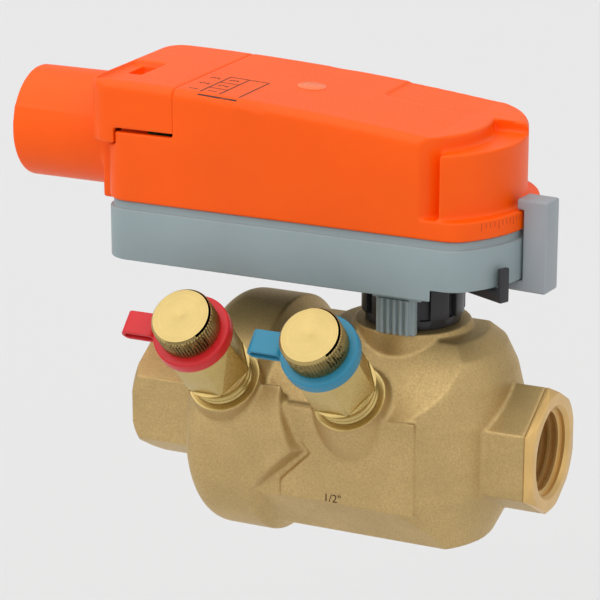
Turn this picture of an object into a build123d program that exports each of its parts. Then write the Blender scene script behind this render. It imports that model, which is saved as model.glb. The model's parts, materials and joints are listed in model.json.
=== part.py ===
"""Motorized valve actuator on a half-inch pressure independent control valve.

Origin: centre of the inlet port's open face. +X runs along the pipe to the outlet,
+Z runs up the valve stem, and the test ports face -Y. Millimetres.
"""
import os
from math import atan2, cos, degrees, pi, radians, sin, sqrt

from build123d import *

os.makedirs("parts", exist_ok=True)

# ---------------------------------------------------------------- driving dimensions
# clearances
pin_fit = 0.02            # a pin or ring pressed into its seat
run_fit = 0.08            # a shaft turning in its bore
seat_gap = 0.15           # ball to its soft seats
loose_gap = 0.3           # pieces that pass near each other

# pipe line
inlet_to_stem = 66.0
stem_to_outlet = 34.6
hub_flats = 26.4          # across the flats of both pipe hubs
hub_edge_chamfer = 1.6
thread_radius = 9.2       # half-inch pipe thread, inside of the crests
thread_depth = 14.0
mouth_radius = 10.9       # countersunk mouth of the outlet thread
flow_radius = 6.5

# regulator barrel
barrel_left = 19.7        # from the inlet face to the barrel's end face
barrel_length = 16.8
barrel_radius = 27.9
barrel_round = 5.5
barrel_slope = 3.5        # length of the cone down to the middle block
chamber_radius = 20.0
chamber_length = 16.3
connector_seat_radius = 21.5
connector_seat_depth = 8.0
arrow_length = 13.5       # raised arrow head between the barrel and the block
arrow_half_height = 14.8
arrow_draft = 28.0
arrow_relief = 3.9         # how far the arrow head stands off the block
arrow_tail = 8.1           # its outline, measured from the edge of the barrel's cone
arrow_top_reach = 5.4
arrow_tip_reach = 12.4
arrow_low_reach = 4.3
arrow_sink = 0.2          # the arrow head lies this far below the barrel's surface

# middle block and ball chamber
block_half_width = 24.0
block_half_height = 22.4
block_facet_height = 11.5     # where the 45 degree facets start, above and below the pipe axis
panel_step = 1.0              # the front panels stand this far proud of the shoulders
dome_radius = 26.3
dome_foot_radius = 19.5
dome_knee = 8.5
flange_radius = 13.4
flange_top = 27.5

# ball valve
ball_radius = 9.5
ball_flow_radius = 5.4
ball_bore_radius = 10.4
ball_rest_angle = -71.0   # 19 degrees open from closed when the pointer is at rest
seat_thickness = 3.6
disc_thickness = 0.9
retainer_thickness = 3.0
stem_radius = 3.9
stem_tang = (7.0, 3.4, 2.8)       # length, width and height of the tang in the ball's slot
stem_neck_radius = 3.0
stem_square = 5.0
stem_top = 43.0
gland_radius = 6.4
gland_bottom = 20.0
gland_top = 32.0
stem_ring_section = 0.85
stem_ring_heights = (13.2, 16.4)

# regulator cartridge
regulator_seat_thickness = 2.6
regulator_wall = 2.6
diaphragm_thickness = 1.2
poppet_radius = 8.0
poppet_flow_radius = 5.2
poppet_plate_radius = 13.0
poppet_plate_thickness = 1.0
poppet_travel = 2.0
spring_radius = 10.8
spring_wire = 0.55
spring_turns = 2.5

# pressure and temperature test ports
supply_port_to_stem = 36.0
return_port_to_stem = 5.0
port_forward = 24.4       # mouth centre, in front of the pipe axis
port_height = 15.1        # mouth centre, above the pipe axis
port_boss_radius = 8.6
port_boss_depth = 14.0
flare_top = 0.8           # the boss widens from here down into the body
flare_depth = 16.0
supply_flare_radius = 9.9     # where it ends inside the body
return_flare_radius = 12.7
port_tap_radius = 5.6
port_tap_depth = 5.2
port_passage_radius = 2.2
port_passage_length = 20.0
plug_collar_radius = 7.0
plug_collar_height = 3.4
plug_cone_height = 2.4
plug_flats = 14.2
plug_hex_height = 13.6
plug_neck_radius = 4.5
plug_neck_height = 8.0
plug_bore_radius = 2.4
tether_ring_radius = 8.9
tether_ring_thickness = 1.0
tether_gap = 0.35
tether_loop_reach = 7.4
tether_loop_height = 3.4
tether_loop_width = 5.6
tether_thickness = 0.8
cap_radius = 7.0
cap_height = 6.8
gasket_thickness = 0.5

# actuator housing
body_left = -68.6         # from the stem axis to the housing's left end
body_half_width = 21.3
body_end_radius = 28.0    # round end about the stem axis
body_corner = 6.0
body_end_corner = 7.0
housing_wall = 2.0
base_bottom = 38.6
relief_height = 41.2      # underside of the base over the pointer's sweep
relief_half_angle = 59.0
floor_top = 43.7
band_bottom = 50.7
seam_height = 52.5
band_inset = 0.8
rim_top = 57.0
turret_radius = 25.2      # round end of the cover above its rim
turret_start = 11.5
turret_corner = 4.0
roof_left = 80.4          # height of the cover's roof at three places along it
roof_middle = 78.1
roof_middle_at = -20.0
roof_right = 74.9
roof_round = 2.2
ledge_height = 71.4        # top of the turret's front, lower than the roof
ledge_back = 6.0
roof_end_spot = (-5.8, -3.1)   # centre of the roof's round end over the turret
roof_end_radius = 23.9
groove_wall = 1.4          # thinner wall behind the vertical groove
turret_left = 14.2         # where the turret's front starts, right of a vertical groove
roof_recess_depth = 0.5
roof_recess_start = -10.0
roof_recess_front = 3.6
roof_recess_length = 60.0  # runs out past the turret
roof_recess_width = 40.0
roof_recess_corner = 3.0

# terminal cover with its conduit tube
terminal_left = body_left - 4.0
terminal_corner = 6.0
terminal_right = body_left + 18.6
terminal_bottom = 68.9
terminal_arm_bottom = 65.8
terminal_arm_right = body_left + 3.4
terminal_wall = 2.0
terminal_end_wall = 3.6    # the end that carries the conduit tube
split_gap = 0.3
conduit_height = 63.55
conduit_radius = 13.1
conduit_bore_radius = 10.3
conduit_end = body_left - 28.1
pocket = (body_left - 2.4, body_left + 6.1, -18.5, 0.0)    # left, right, front and back of the shallow pocket
pocket_depth = 1.2
latch_window = (body_left + 0.6, body_left + 5.8, -8.5, -0.6)    # the deeper window at its back
window_depth = 3.0

# coupling between the valve and the actuator
crown_radius = 11.8
crown_inner_radius = 9.2
crown_base_height = 2.2
crown_undercut = 0.9       # how far the base stays behind the posts, for the legs' hooks
crown_sleeve = 1.0         # sleeve that ties the posts together
crown_free_tips = 1.5
crown_posts = 10
crown_post_width = 5.0
crown_top = 37.9
leg_width = 9.4
leg_offset = 1.5
leg_thickness = 2.0
leg_hook = 1.0            # reach of the hook that catches under the crown's posts
leg_root_height = 2.6
leg_root_rim = 1.2         # how far the leg's root is wider than the leg on each side
leg_root_shift = 0.6
leg_root_depth = 0.8       # how far it is thicker
flute_width = 0.9
flute_depth = 0.7
flute_end = 2.0            # plain length above the flutes
leg_flutes = 5

# output hub, pointer and end stop
hub_radius = 8.5
hub_bottom = 33.0
journal_radius = 4.0
pointer_angle = -26.0
pointer_ring_radius = 11.2
pointer_thickness = 2.6
pointer_arm_width = 2.6
finger_radius = 29.6
finger_thickness = 1.3
finger_width = 2.6
finger_top = 45.9
stop_angle = -5.0
stop_width = 6.0
stop_outer_radius = 34.3
stop_wall = 5.9
stop_top = 59.6
stop_foot_radius = 25.0
stop_foot_thickness = 2.4
stop_hook_radius = 26.8

# gear train, module and tooth counts
gear_module = 0.8
output_teeth = 40
second_pinion_teeth = 12
second_wheel_teeth = 32
first_pinion_teeth = 10
first_wheel_teeth = 28
motor_pinion_teeth = 10
tooth_height_out = 0.62   # as shares of the module
tooth_height_in = 1.0
second_direction = 180.0  # from the stem to the second gear
first_direction = 160.0   # from the second gear to the first gear
motor_direction = -70.0   # from the first gear to the motor
output_level = 45.0
output_face = 4.0
second_level = 50.0
second_face = 3.0
first_level = 54.0
first_face = 2.5
axle_radius = 1.25
axle_bottom = 41.5
plate_bottom = 58.0
plate_thickness = 1.6
plate_half_width = 15.6
plate_left = -57.0
plate_right = 20.0
plate_right_corner = 11.5
pillar_radius = 2.6
pillar_spots = ((-52.0, 13.0), (-52.0, -13.0), (17.0, 9.5), (17.0, -9.5))
plate_screw_radius = 1.2
motor_radius = 10.0
motor_height = 12.0
motor_shaft_radius = 1.0

# electronics and fasteners
board_left = -63.0
board_right = -44.0
board_half_width = 17.0
board_bottom = 62.0
board_thickness = 1.6
block_length = 7.0
block_half_span = 10.5
block_height = 8.5
terminal_count = 3
cover_screw_spots = ((-61.0, 17.0), (-61.0, -17.0), (-14.0, 17.0), (-14.0, -17.0))
cover_screw_radius = 1.45
cover_screw_head = 2.6
cover_screw_top = 60.0
boss_radius = 3.0
seal_height = 0.9

# ---------------------------------------------------------------- frames and helpers
stem_x = inlet_to_stem
outlet_x = stem_x + stem_to_outlet
stem_axis = Axis((stem_x, 0, 0), (0, 0, 1))
side_view = Plane.XZ                                                  # (x, z)
stem_section = Plane(origin=(stem_x, 0, 0), x_dir=(1, 0, 0), z_dir=(0, -1, 0))  # (radius, z)


def level(height, x=stem_x, y=0.0):
    """A horizontal plane at a height, centred on the stem axis unless told otherwise."""
    return Plane(origin=(x, y, height), x_dir=(1, 0, 0), z_dir=(0, 0, 1))


def across(x):
    """A plane square to the pipe: local x is +Y and local y is +Z."""
    return Plane(origin=(x, 0, 0), x_dir=(0, 1, 0), z_dir=(1, 0, 0))


def disc(plane, radius, height, hole=0.0, mode=Mode.ADD):
    """A round disc or tube standing on a plane."""
    with BuildSketch(plane) as face:
        Circle(radius)
        if hole > 0:
            Circle(hole, mode=Mode.SUBTRACT)
    extrude(face.sketch, amount=height, mode=mode)


def block(plane, length, width, height, mode=Mode.ADD):
    """A rectangular block standing on the middle of a plane."""
    with BuildSketch(plane) as face:
        Rectangle(length, width)
    extrude(face.sketch, amount=height, mode=mode)


def turned(plane, points, axis, mode=Mode.ADD):
    """A shape turned from a closed outline about an axis."""
    with BuildSketch(plane) as face:
        with BuildLine():
            Polyline(*points, close=True)
        make_face()
    revolve(face.sketch, axis=axis, mode=mode)


def cylinders(plane, spots, radius, height, mode=Mode.ADD):
    """Equal round columns or holes at several spots of one plane."""
    with BuildSketch(plane) as face:
        with Locations(*spots):
            Circle(radius)
    extrude(face.sketch, amount=height, mode=mode)


# ---------------------------------------------------------------- valve body
hub_corner = hub_flats / 2 / cos(pi / 6)
block_left = barrel_left + barrel_length + barrel_slope


def hex_hub(inner_x, outer_x):
    """A hexagonal pipe hub along X with its corners turned off at the open face."""
    outward = 1 if outer_x > inner_x else -1
    with BuildPart() as hub:
        with BuildSketch(across(min(inner_x, outer_x))):
            RegularPolygon(hub_flats / 2, 6, major_radius=False, rotation=30)
        extrude(amount=abs(outer_x - inner_x))
        knee = outer_x - outward * hub_edge_chamfer
        rim = hub_corner - hub_edge_chamfer
        turned(side_view, [(inner_x, 0), (inner_x, hub_corner + 1), (knee, hub_corner + 1),
                           (knee, hub_corner), (outer_x, rim), (outer_x, 0)],
               Axis.X, mode=Mode.INTERSECT)
    return hub.part


with BuildPart() as chamber_form:
    # the round ball chamber under the actuator flange, flattened by the front and back panels
    with BuildSketch(across(stem_x - dome_radius - 1)):
        with BuildLine():
            foot = block_half_width - (block_half_height - block_facet_height)
            crown = block_half_width - (flange_top - block_facet_height)
            Polyline((-block_half_width, -block_facet_height), (-foot, -block_half_height),
                     (foot, -block_half_height), (block_half_width, -block_facet_height),
                     (block_half_width, block_facet_height), (crown, flange_top),
                     (-crown, flange_top), (-block_half_width, block_facet_height), close=True)
        make_face()
    extrude(amount=2 * dome_radius + 2)
    turned(stem_section, [(0, -block_half_height), (dome_foot_radius, -block_half_height),
                          (dome_radius, -dome_knee), (dome_radius, dome_knee),
                          (dome_radius - 2.0, dome_knee + 8.5),
                          (dome_radius - 4.6, dome_knee + 14.0),
                          (dome_radius - 8.6, flange_top - 1.6), (0, flange_top - 1.6)],
           stem_axis, mode=Mode.INTERSECT)

with BuildPart() as arrow_form:
    # the raised arrow head that points from the barrel along the flow, front and back
    for side in (1, -1):
        tip_plane = Plane(origin=(block_left - 1.5, -side * (block_half_width - 1), 0),
                          x_dir=(side, 0, 0), z_dir=(0, -side, 0))
        with BuildSketch(tip_plane) as head:
            with BuildLine():
                Polyline((-side * arrow_tail, arrow_half_height),
                         (side * arrow_top_reach, arrow_half_height),
                         (side * arrow_tip_reach, 0.5),
                         (-side * arrow_low_reach, -arrow_half_height),
                         (-side * arrow_tail, -arrow_half_height), close=True)
            make_face()
        extrude(head.sketch, amount=arrow_relief + 1, taper=arrow_draft)
    with BuildSketch(across(block_left - arrow_length)) as barrel_end:
        Circle(barrel_radius - arrow_sink)
    extrude(barrel_end.sketch, amount=3 * arrow_length, mode=Mode.INTERSECT)


def port_plane(to_stem, out=0.0):
    """The plane of a test port's mouth; local z runs out along the port."""
    mouth = Plane(origin=(stem_x - to_stem, -port_forward, port_height),
                  x_dir=(1, 0, 0), z_dir=(0, -1, 1))
    return mouth.offset(out)


ball_stop_x = stem_x + ball_radius + seat_gap + 1.0 + disc_thickness

with BuildPart() as valve_body:
    # barrel that holds the pressure regulator
    with BuildSketch(side_view) as barrel_section:
        with BuildLine():
            Polyline((barrel_left, 0), (barrel_left, barrel_radius),
                     (barrel_left + barrel_length, barrel_radius),
                     (block_left, block_half_height), (block_left, 0), close=True)
        make_face()
        fillet(barrel_section.vertices().group_by(Axis.X)[0].sort_by(Axis.Y)[-1:], barrel_round)
    revolve(barrel_section.sketch, axis=Axis.X)
    # middle block with its stepped front and back panels
    with BuildSketch(across(block_left - 2)) as block_section:
        with BuildLine():
            foot = block_half_width - (block_half_height - block_facet_height)
            shoulder = block_half_width - panel_step
            Polyline((-block_half_width, -block_facet_height), (-foot, -block_half_height),
                     (foot, -block_half_height), (block_half_width, -block_facet_height),
                     (block_half_width, block_facet_height), (shoulder, block_facet_height),
                     (foot - panel_step, block_half_height), (panel_step - foot, block_half_height),
                     (-shoulder, block_facet_height), (-block_half_width, block_facet_height),
                     close=True)
        make_face()
    extrude(block_section.sketch, amount=stem_x - block_left + 2)
    add(chamber_form.part)
    add(arrow_form.part)
    # actuator flange, outlet hub and test port bosses
    disc(level(block_half_height / 2), flange_radius, flange_top - block_half_height / 2)
    add(hex_hub(stem_x + ball_radius, outlet_x))
    for to_stem, flare_radius in ((supply_port_to_stem, supply_flare_radius),
                                  (return_port_to_stem, return_flare_radius)):
        disc(port_plane(to_stem, -port_boss_depth), port_boss_radius, port_boss_depth)
        with Locations(port_plane(to_stem, -flare_depth)):
            Cone(flare_radius, port_boss_radius, flare_depth - flare_top,
                 align=(Align.CENTER, Align.CENTER, Align.MIN))
    # bores along the pipe
    disc(across(barrel_left - 1), connector_seat_radius, connector_seat_depth + 1,
         mode=Mode.SUBTRACT)
    disc(across(barrel_left), chamber_radius, connector_seat_depth + chamber_length,
         mode=Mode.SUBTRACT)
    disc(across(barrel_left), ball_bore_radius, ball_stop_x - barrel_left, mode=Mode.SUBTRACT)
    disc(across(barrel_left), flow_radius, outlet_x - barrel_left, mode=Mode.SUBTRACT)
    mouth_chamfer = mouth_radius - thread_radius
    turned(side_view, [(outlet_x - thread_depth, 0), (outlet_x - thread_depth, thread_radius),
                       (outlet_x - mouth_chamfer, thread_radius), (outlet_x, mouth_radius),
                       (outlet_x + 1, mouth_radius), (outlet_x + 1, 0)],
           Axis.X, mode=Mode.SUBTRACT)
    # bores for the stem, its gland and the test ports
    disc(level(0), stem_radius + run_fit, flange_top + 1, mode=Mode.SUBTRACT)
    disc(level(gland_bottom), gland_radius + pin_fit, flange_top - gland_bottom + 1,
         mode=Mode.SUBTRACT)
    for to_stem in (supply_port_to_stem, return_port_to_stem):
        disc(port_plane(to_stem, -port_tap_depth), port_tap_radius, port_tap_depth + 1,
             mode=Mode.SUBTRACT)
        disc(port_plane(to_stem, -port_passage_length), port_passage_radius,
             port_passage_length, mode=Mode.SUBTRACT)

valve_body.part.label = "valve_body"
export_step(valve_body.part, "parts/valve_body.step")

# ---------------------------------------------------------------- inlet connector
seal_section = 0.9
seal_groove_x = barrel_left + connector_seat_depth / 2
connector_radius = connector_seat_radius - pin_fit

with BuildPart() as inlet_connector:
    add(hex_hub(barrel_left + 1, 0))
    disc(across(barrel_left), connector_radius, connector_seat_depth - pin_fit)
    disc(across(0), thread_radius, thread_depth, mode=Mode.SUBTRACT)
    disc(across(0), flow_radius, barrel_left + connector_seat_depth, mode=Mode.SUBTRACT)
    disc(across(seal_groove_x - seal_section - pin_fit), connector_seat_radius + 1,
         2 * seal_section + 2 * pin_fit,
         hole=connector_seat_radius - 2 * seal_section - 2 * pin_fit, mode=Mode.SUBTRACT)

inlet_connector.part.label = "inlet_connector"
export_step(inlet_connector.part, "parts/inlet_connector.step")

with BuildPart() as connector_seal:
    with BuildSketch(side_view) as ring_section:
        with Locations((seal_groove_x, connector_seat_radius - seal_section - pin_fit)):
            Circle(seal_section)
    revolve(ring_section.sketch, axis=Axis.X)

connector_seal.part.label = "connector_seal"
export_step(connector_seal.part, "parts/connector_seal.step")

# ---------------------------------------------------------------- pressure regulator
cartridge_left = barrel_left + connector_seat_depth
cartridge_right = cartridge_left + chamber_length
cartridge_radius = chamber_radius - pin_fit
regulator_seat_left = cartridge_right - regulator_seat_thickness
diaphragm_left = cartridge_left + 5.4
diaphragm_right = diaphragm_left + diaphragm_thickness
plate_left_x = diaphragm_right + loose_gap
plate_right_x = plate_left_x + poppet_plate_thickness

with BuildPart() as regulator_seat:
    disc(across(regulator_seat_left), cartridge_radius, regulator_seat_thickness,
         hole=poppet_flow_radius)

regulator_seat.part.label = "regulator_seat"
export_step(regulator_seat.part, "parts/regulator_seat.step")

with BuildPart() as regulator_sleeve:
    disc(across(diaphragm_right), cartridge_radius, regulator_seat_left - diaphragm_right,
         hole=cartridge_radius - regulator_wall)

regulator_sleeve.part.label = "regulator_sleeve"
export_step(regulator_sleeve.part, "parts/regulator_sleeve.step")

with BuildPart() as clamp_ring:
    disc(across(cartridge_left), cartridge_radius, diaphragm_left - cartridge_left,
         hole=cartridge_radius - regulator_wall)
    # the supply port's passage into the chamber
    disc(port_plane(supply_port_to_stem, -port_passage_length), port_passage_radius,
         port_passage_length, mode=Mode.SUBTRACT)

clamp_ring.part.label = "clamp_ring"
export_step(clamp_ring.part, "parts/clamp_ring.step")

with BuildPart() as diaphragm:
    disc(across(diaphragm_left), cartridge_radius, diaphragm_thickness,
         hole=poppet_radius + loose_gap)

diaphragm.part.label = "diaphragm"
export_step(diaphragm.part, "parts/diaphragm.step")

with BuildPart() as poppet:
    poppet_left = cartridge_left + 1.6
    disc(across(poppet_left), poppet_radius,
         regulator_seat_left - poppet_travel - loose_gap - poppet_left,
         hole=poppet_flow_radius)
    disc(across(plate_left_x), poppet_plate_radius, poppet_plate_thickness,
         hole=poppet_flow_radius)

poppet.part.label = "poppet"
export_step(poppet.part, "parts/poppet.step")

with BuildPart() as regulator_spring:
    spring_left = plate_right_x + spring_wire
    spring_right = regulator_seat_left - spring_wire
    coil = Helix((spring_right - spring_left) / spring_turns, spring_right - spring_left,
                 spring_radius, center=(spring_left, 0, 0), direction=(1, 0, 0))
    with BuildSketch(Plane(origin=coil @ 0, z_dir=coil % 0)) as wire_section:
        Circle(spring_wire)
    sweep(wire_section.sketch, path=coil, is_frenet=True)

regulator_spring.part.label = "regulator_spring"
export_step(regulator_spring.part, "parts/regulator_spring.step")

# ---------------------------------------------------------------- ball, seats and stem
seat_outer = ball_bore_radius - pin_fit
socket_radius = ball_radius + seat_gap

with BuildPart() as ball:
    with BuildSketch(stem_section) as half_ball:
        Circle(ball_radius)
        with Locations((-ball_radius, 0)):
            Rectangle(2 * ball_radius, 2 * ball_radius, mode=Mode.SUBTRACT)
    revolve(half_ball.sketch, axis=stem_axis)
    bore_way = Vector(cos(radians(ball_rest_angle)), sin(radians(ball_rest_angle)), 0)
    disc(Plane(origin=Vector(stem_x, 0, 0) - bore_way * (ball_radius + 1), z_dir=bore_way),
         ball_flow_radius, 2 * ball_radius + 2, mode=Mode.SUBTRACT)
    slot = Plane(origin=(stem_x, 0, ball_radius - stem_tang[2]), x_dir=bore_way, z_dir=(0, 0, 1))
    block(slot, 2 * ball_radius, stem_tang[1] + 2 * run_fit, stem_tang[2] + 1,
          mode=Mode.SUBTRACT)

ball.part.label = "ball"
export_step(ball.part, "parts/ball.step")

for side, name in ((-1, "seat_upstream"), (1, "seat_downstream")):
    with BuildPart() as ball_seat:
        outer_face = ball_radius + seat_gap + 1.0
        start = outer_face - seat_thickness
        turned(stem_section, [(side * start, ball_flow_radius),
                              (side * start, seat_outer),
                              (side * outer_face, seat_outer),
                              (side * outer_face, ball_flow_radius)],
               Axis.X)
        with BuildSketch(stem_section) as socket:
            Circle(socket_radius)
            with Locations((0, -socket_radius)):
                Rectangle(2 * socket_radius, 2 * socket_radius, mode=Mode.SUBTRACT)
        revolve(socket.sketch, axis=Axis.X, mode=Mode.SUBTRACT)
    ball_seat.part.label = name
    export_step(ball_seat.part, f"parts/{name}.step")

with BuildPart() as flow_disc:
    # characterising disc: a V-shaped window sets how the flow grows as the ball opens
    disc_left = ball_stop_x - disc_thickness
    disc(across(disc_left), seat_outer, disc_thickness)
    with BuildSketch(across(disc_left - 1)) as window:
        with BuildLine():
            Polyline((-4.6, 0), (2.6, 3.4), (4.6, 0), (2.6, -3.4), close=True)
        make_face()
    extrude(window.sketch, amount=disc_thickness + 2, mode=Mode.SUBTRACT)

flow_disc.part.label = "flow_disc"
export_step(flow_disc.part, "parts/flow_disc.step")

with BuildPart() as ball_retainer:
    retainer_right = stem_x - ball_radius - seat_gap - 1.0
    disc(across(retainer_right - retainer_thickness), seat_outer, retainer_thickness,
         hole=flow_radius)

ball_retainer.part.label = "ball_retainer"
export_step(ball_retainer.part, "parts/ball_retainer.step")

tang_bottom = ball_radius - stem_tang[2] + 0.4

with BuildPart() as valve_stem:
    block(Plane(origin=(stem_x, 0, tang_bottom), x_dir=bore_way, z_dir=(0, 0, 1)),
          stem_tang[0], stem_tang[1], ball_radius + 1.2 - tang_bottom)
    shaft_bottom = ball_radius + 0.6
    disc(level(shaft_bottom), stem_radius, gland_bottom - 0.2 - shaft_bottom)
    disc(level(gland_bottom - 0.4), stem_neck_radius, gland_top + 1 - gland_bottom)
    block(level(gland_top), stem_square, stem_square, stem_top - gland_top)
    for height in stem_ring_heights:
        disc(level(height - stem_ring_section - pin_fit), stem_radius + 1,
             2 * stem_ring_section + 2 * pin_fit,
             hole=stem_radius - 2 * stem_ring_section - pin_fit, mode=Mode.SUBTRACT)

valve_stem.part.label = "valve_stem"
export_step(valve_stem.part, "parts/valve_stem.step")

with BuildPart() as stem_seals:
    for height in stem_ring_heights:
        with BuildSketch(stem_section) as ring_section:
            with Locations((stem_radius - stem_ring_section, height)):
                Circle(stem_ring_section)
        revolve(ring_section.sketch, axis=stem_axis)

stem_seals.part.label = "stem_seals"
export_step(stem_seals.part, "parts/stem_seals.step")

with BuildPart() as stem_gland:
    disc(level(gland_bottom), gland_radius, gland_top - gland_bottom,
         hole=stem_neck_radius + run_fit)
    disc(level(flange_top), gland_radius + 1.6, 1.6, hole=stem_neck_radius + run_fit)
    chamfer(stem_gland.faces().sort_by(Axis.Z)[-1].edges().sort_by(SortBy.RADIUS)[-1], 0.6)

stem_gland.part.label = "stem_gland"
export_step(stem_gland.part, "parts/stem_gland.step")

# ---------------------------------------------------------------- test ports
hex_bottom = plug_collar_height + plug_cone_height
hex_top = hex_bottom + plug_hex_height
ring_low = hex_top + tether_gap
ring_high = ring_low + tether_ring_thickness + tether_gap
cap_bottom = ring_high + tether_ring_thickness + tether_gap
neck_top = hex_top + plug_neck_height
cap_cavity_top = neck_top + gasket_thickness + 0.1
ring_hole = plug_neck_radius + loose_gap

for to_stem, port in ((supply_port_to_stem, "supply"), (return_port_to_stem, "return")):
    port_x = stem_x - to_stem
    mouth = port_plane(to_stem)
    port_section = Plane(origin=mouth.origin, x_dir=(1, 0, 0),
                         z_dir=mouth.y_dir * -1)
    port_axis = Axis(mouth.origin, mouth.z_dir)

    with BuildPart() as test_plug:
        disc(mouth.offset(-port_tap_depth + 0.3), port_tap_radius - pin_fit, port_tap_depth)
        cone_top = hex_bottom
        turned(port_section, [(0, 0), (plug_collar_radius, 0), (plug_collar_radius, 0.7),
                              (plug_collar_radius - 0.5, 0.9), (plug_collar_radius - 0.5, 1.3),
                              (plug_collar_radius, 1.5), (plug_collar_radius, 2.1),
                              (plug_collar_radius - 0.5, 2.3), (plug_collar_radius - 0.5, 2.7),
                              (plug_collar_radius, 2.9),
                              (plug_collar_radius, plug_collar_height),
                              (plug_flats / 2 + 1.0, cone_top), (0, cone_top)], port_axis)
        with BuildSketch(mouth.offset(hex_bottom)) as hexagon:
            RegularPolygon(plug_flats / 2, 6, major_radius=False)
        extrude(hexagon.sketch, amount=plug_hex_height)
        disc(mouth.offset(hex_top), plug_neck_radius, plug_neck_height)
        disc(mouth.offset(-port_tap_depth), plug_bore_radius,
             port_tap_depth + neck_top + 1, mode=Mode.SUBTRACT)
    test_plug.part.label = f"{port}_test_plug"
    export_step(test_plug.part, f"parts/{port}_test_plug.step")

    with BuildPart() as plug_core:
        disc(mouth.offset(-1), plug_bore_radius - pin_fit, hex_top)
    plug_core.part.label = f"{port}_plug_core"
    export_step(plug_core.part, f"parts/{port}_plug_core.step")

    with BuildPart() as tether:
        for height in (ring_low, ring_high):
            disc(mouth.offset(height), tether_ring_radius, tether_ring_thickness,
                 hole=ring_hole)
        loop_right = -(tether_ring_radius - 1.2)
        loop_length = tether_ring_radius + tether_loop_reach + loop_right
        loop_middle = loop_right - loop_length / 2
        loop_height = (ring_low + ring_high + tether_ring_thickness) / 2
        strap_plane = port_section.offset(-tether_loop_width / 2)
        with BuildSketch(strap_plane) as strap:
            with Locations((loop_middle, loop_height)):
                SlotOverall(loop_length, tether_loop_height)
                SlotOverall(loop_length - 2 * tether_thickness,
                            tether_loop_height - 2 * tether_thickness, mode=Mode.SUBTRACT)
        extrude(strap.sketch, amount=tether_loop_width)
    tether.part.label = f"{port}_tether"
    export_step(tether.part, f"parts/{port}_tether.step")

    with BuildPart() as cap:
        disc(mouth.offset(cap_bottom), cap_radius, cap_height)
        chamfer(cap.edges().filter_by(GeomType.CIRCLE).sort_by(port_axis)[-1], 0.5)
        disc(mouth.offset(cap_bottom - 1), plug_neck_radius + run_fit,
             cap_cavity_top - cap_bottom + 1, mode=Mode.SUBTRACT)
    cap.part.label = f"{port}_cap"
    export_step(cap.part, f"parts/{port}_cap.step")

    with BuildPart() as cap_gasket:
        disc(mouth.offset(neck_top + 0.05), plug_neck_radius - pin_fit, gasket_thickness)
    cap_gasket.part.label = f"{port}_cap_gasket"
    export_step(cap_gasket.part, f"parts/{port}_cap_gasket.step")

# ---------------------------------------------------------------- coupling crown
with BuildPart() as coupling_crown:
    disc(level(flange_top), crown_radius - crown_undercut, crown_base_height,
         hole=crown_inner_radius)
    with BuildSketch(level(flange_top + crown_base_height)) as posts:
        Circle(crown_radius)
        Circle(crown_inner_radius, mode=Mode.SUBTRACT)
        with PolarLocations((crown_radius + crown_inner_radius) / 2, crown_posts,
                            start_angle=180 / crown_posts):
            gap = 2 * pi * crown_radius / crown_posts - crown_post_width
            Rectangle(2 * (crown_radius - crown_inner_radius), gap, mode=Mode.SUBTRACT)
    extrude(posts.sketch, amount=crown_top - flange_top - crown_base_height)
    disc(level(flange_top + crown_base_height - 0.01), crown_inner_radius + crown_sleeve,
         crown_top - flange_top - crown_base_height - crown_free_tips, hole=crown_inner_radius)

coupling_crown.part.label = "coupling_crown"
export_step(coupling_crown.part, "parts/coupling_crown.step")

# ---------------------------------------------------------------- actuator housing


def plan_outline(plane, inset):
    """The housing's outline from above: straight sides and a round end about the stem."""
    half = body_half_width - inset
    end = body_end_radius - inset
    left = body_left + inset
    reach = sqrt(end ** 2 - half ** 2)
    with BuildSketch(plane) as outline:
        with BuildLine():
            Line((left, -half), (reach, -half))
            ThreePointArc((reach, -half), (end, 0), (reach, half))
            Line((reach, half), (left, half))
            Line((left, half), (left, -half))
        make_face()
        left_corners = outline.vertices().group_by(Axis.X)[0]
        fillet(left_corners, body_corner - inset)
        end_corners = outline.vertices().filter_by_position(Axis.X, reach - 0.01, reach + 0.01)
        fillet(end_corners, body_end_corner - inset)
    return outline.sketch


def turret_outline(plane, inset):
    """The cover's outline above its rim: straight sides and a round turret about the stem."""
    half = body_half_width - inset
    end = turret_radius - inset
    left = body_left + inset
    reach = sqrt(end ** 2 - half ** 2)
    with BuildSketch(plane) as outline:
        with BuildLine():
            Line((left, -half), (reach, -half))
            ThreePointArc((reach, -half), (end, 0), (reach, half))
            Line((reach, half), (left, half))
            Line((left, half), (left, -half))
        make_face()
        fillet(outline.vertices().group_by(Axis.X)[0], body_corner - inset)
        end_corners = outline.vertices().filter_by_position(Axis.X, reach - 0.01, reach + 0.01)
        fillet(end_corners, turret_corner)
    return outline.sketch


def sector(plane, radius, half_angle):
    """A slice of a circle about the stem, opening towards +X."""
    with BuildSketch(plane) as slice_face:
        with BuildLine():
            edge_x = radius * cos(radians(half_angle))
            edge_y = radius * sin(radians(half_angle))
            Line((0, 0), (edge_x, -edge_y))
            ThreePointArc((edge_x, -edge_y), (radius, 0), (edge_x, edge_y))
            Line((edge_x, edge_y), (0, 0))
        make_face()
    return slice_face.sketch


def beyond_roof_end(plane, inset, right, back):
    """Everything in front of the roof's round end, up to a limit on the right and the back."""
    front = -2 * body_half_width
    left = roof_end_spot[0]
    with BuildSketch(plane) as region:
        with Locations(((left + right) / 2, (front + back) / 2)):
            Rectangle(right - left, back - front)
        with Locations(roof_end_spot):
            Circle(roof_end_radius - inset, mode=Mode.SUBTRACT)
    return region.sketch


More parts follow.
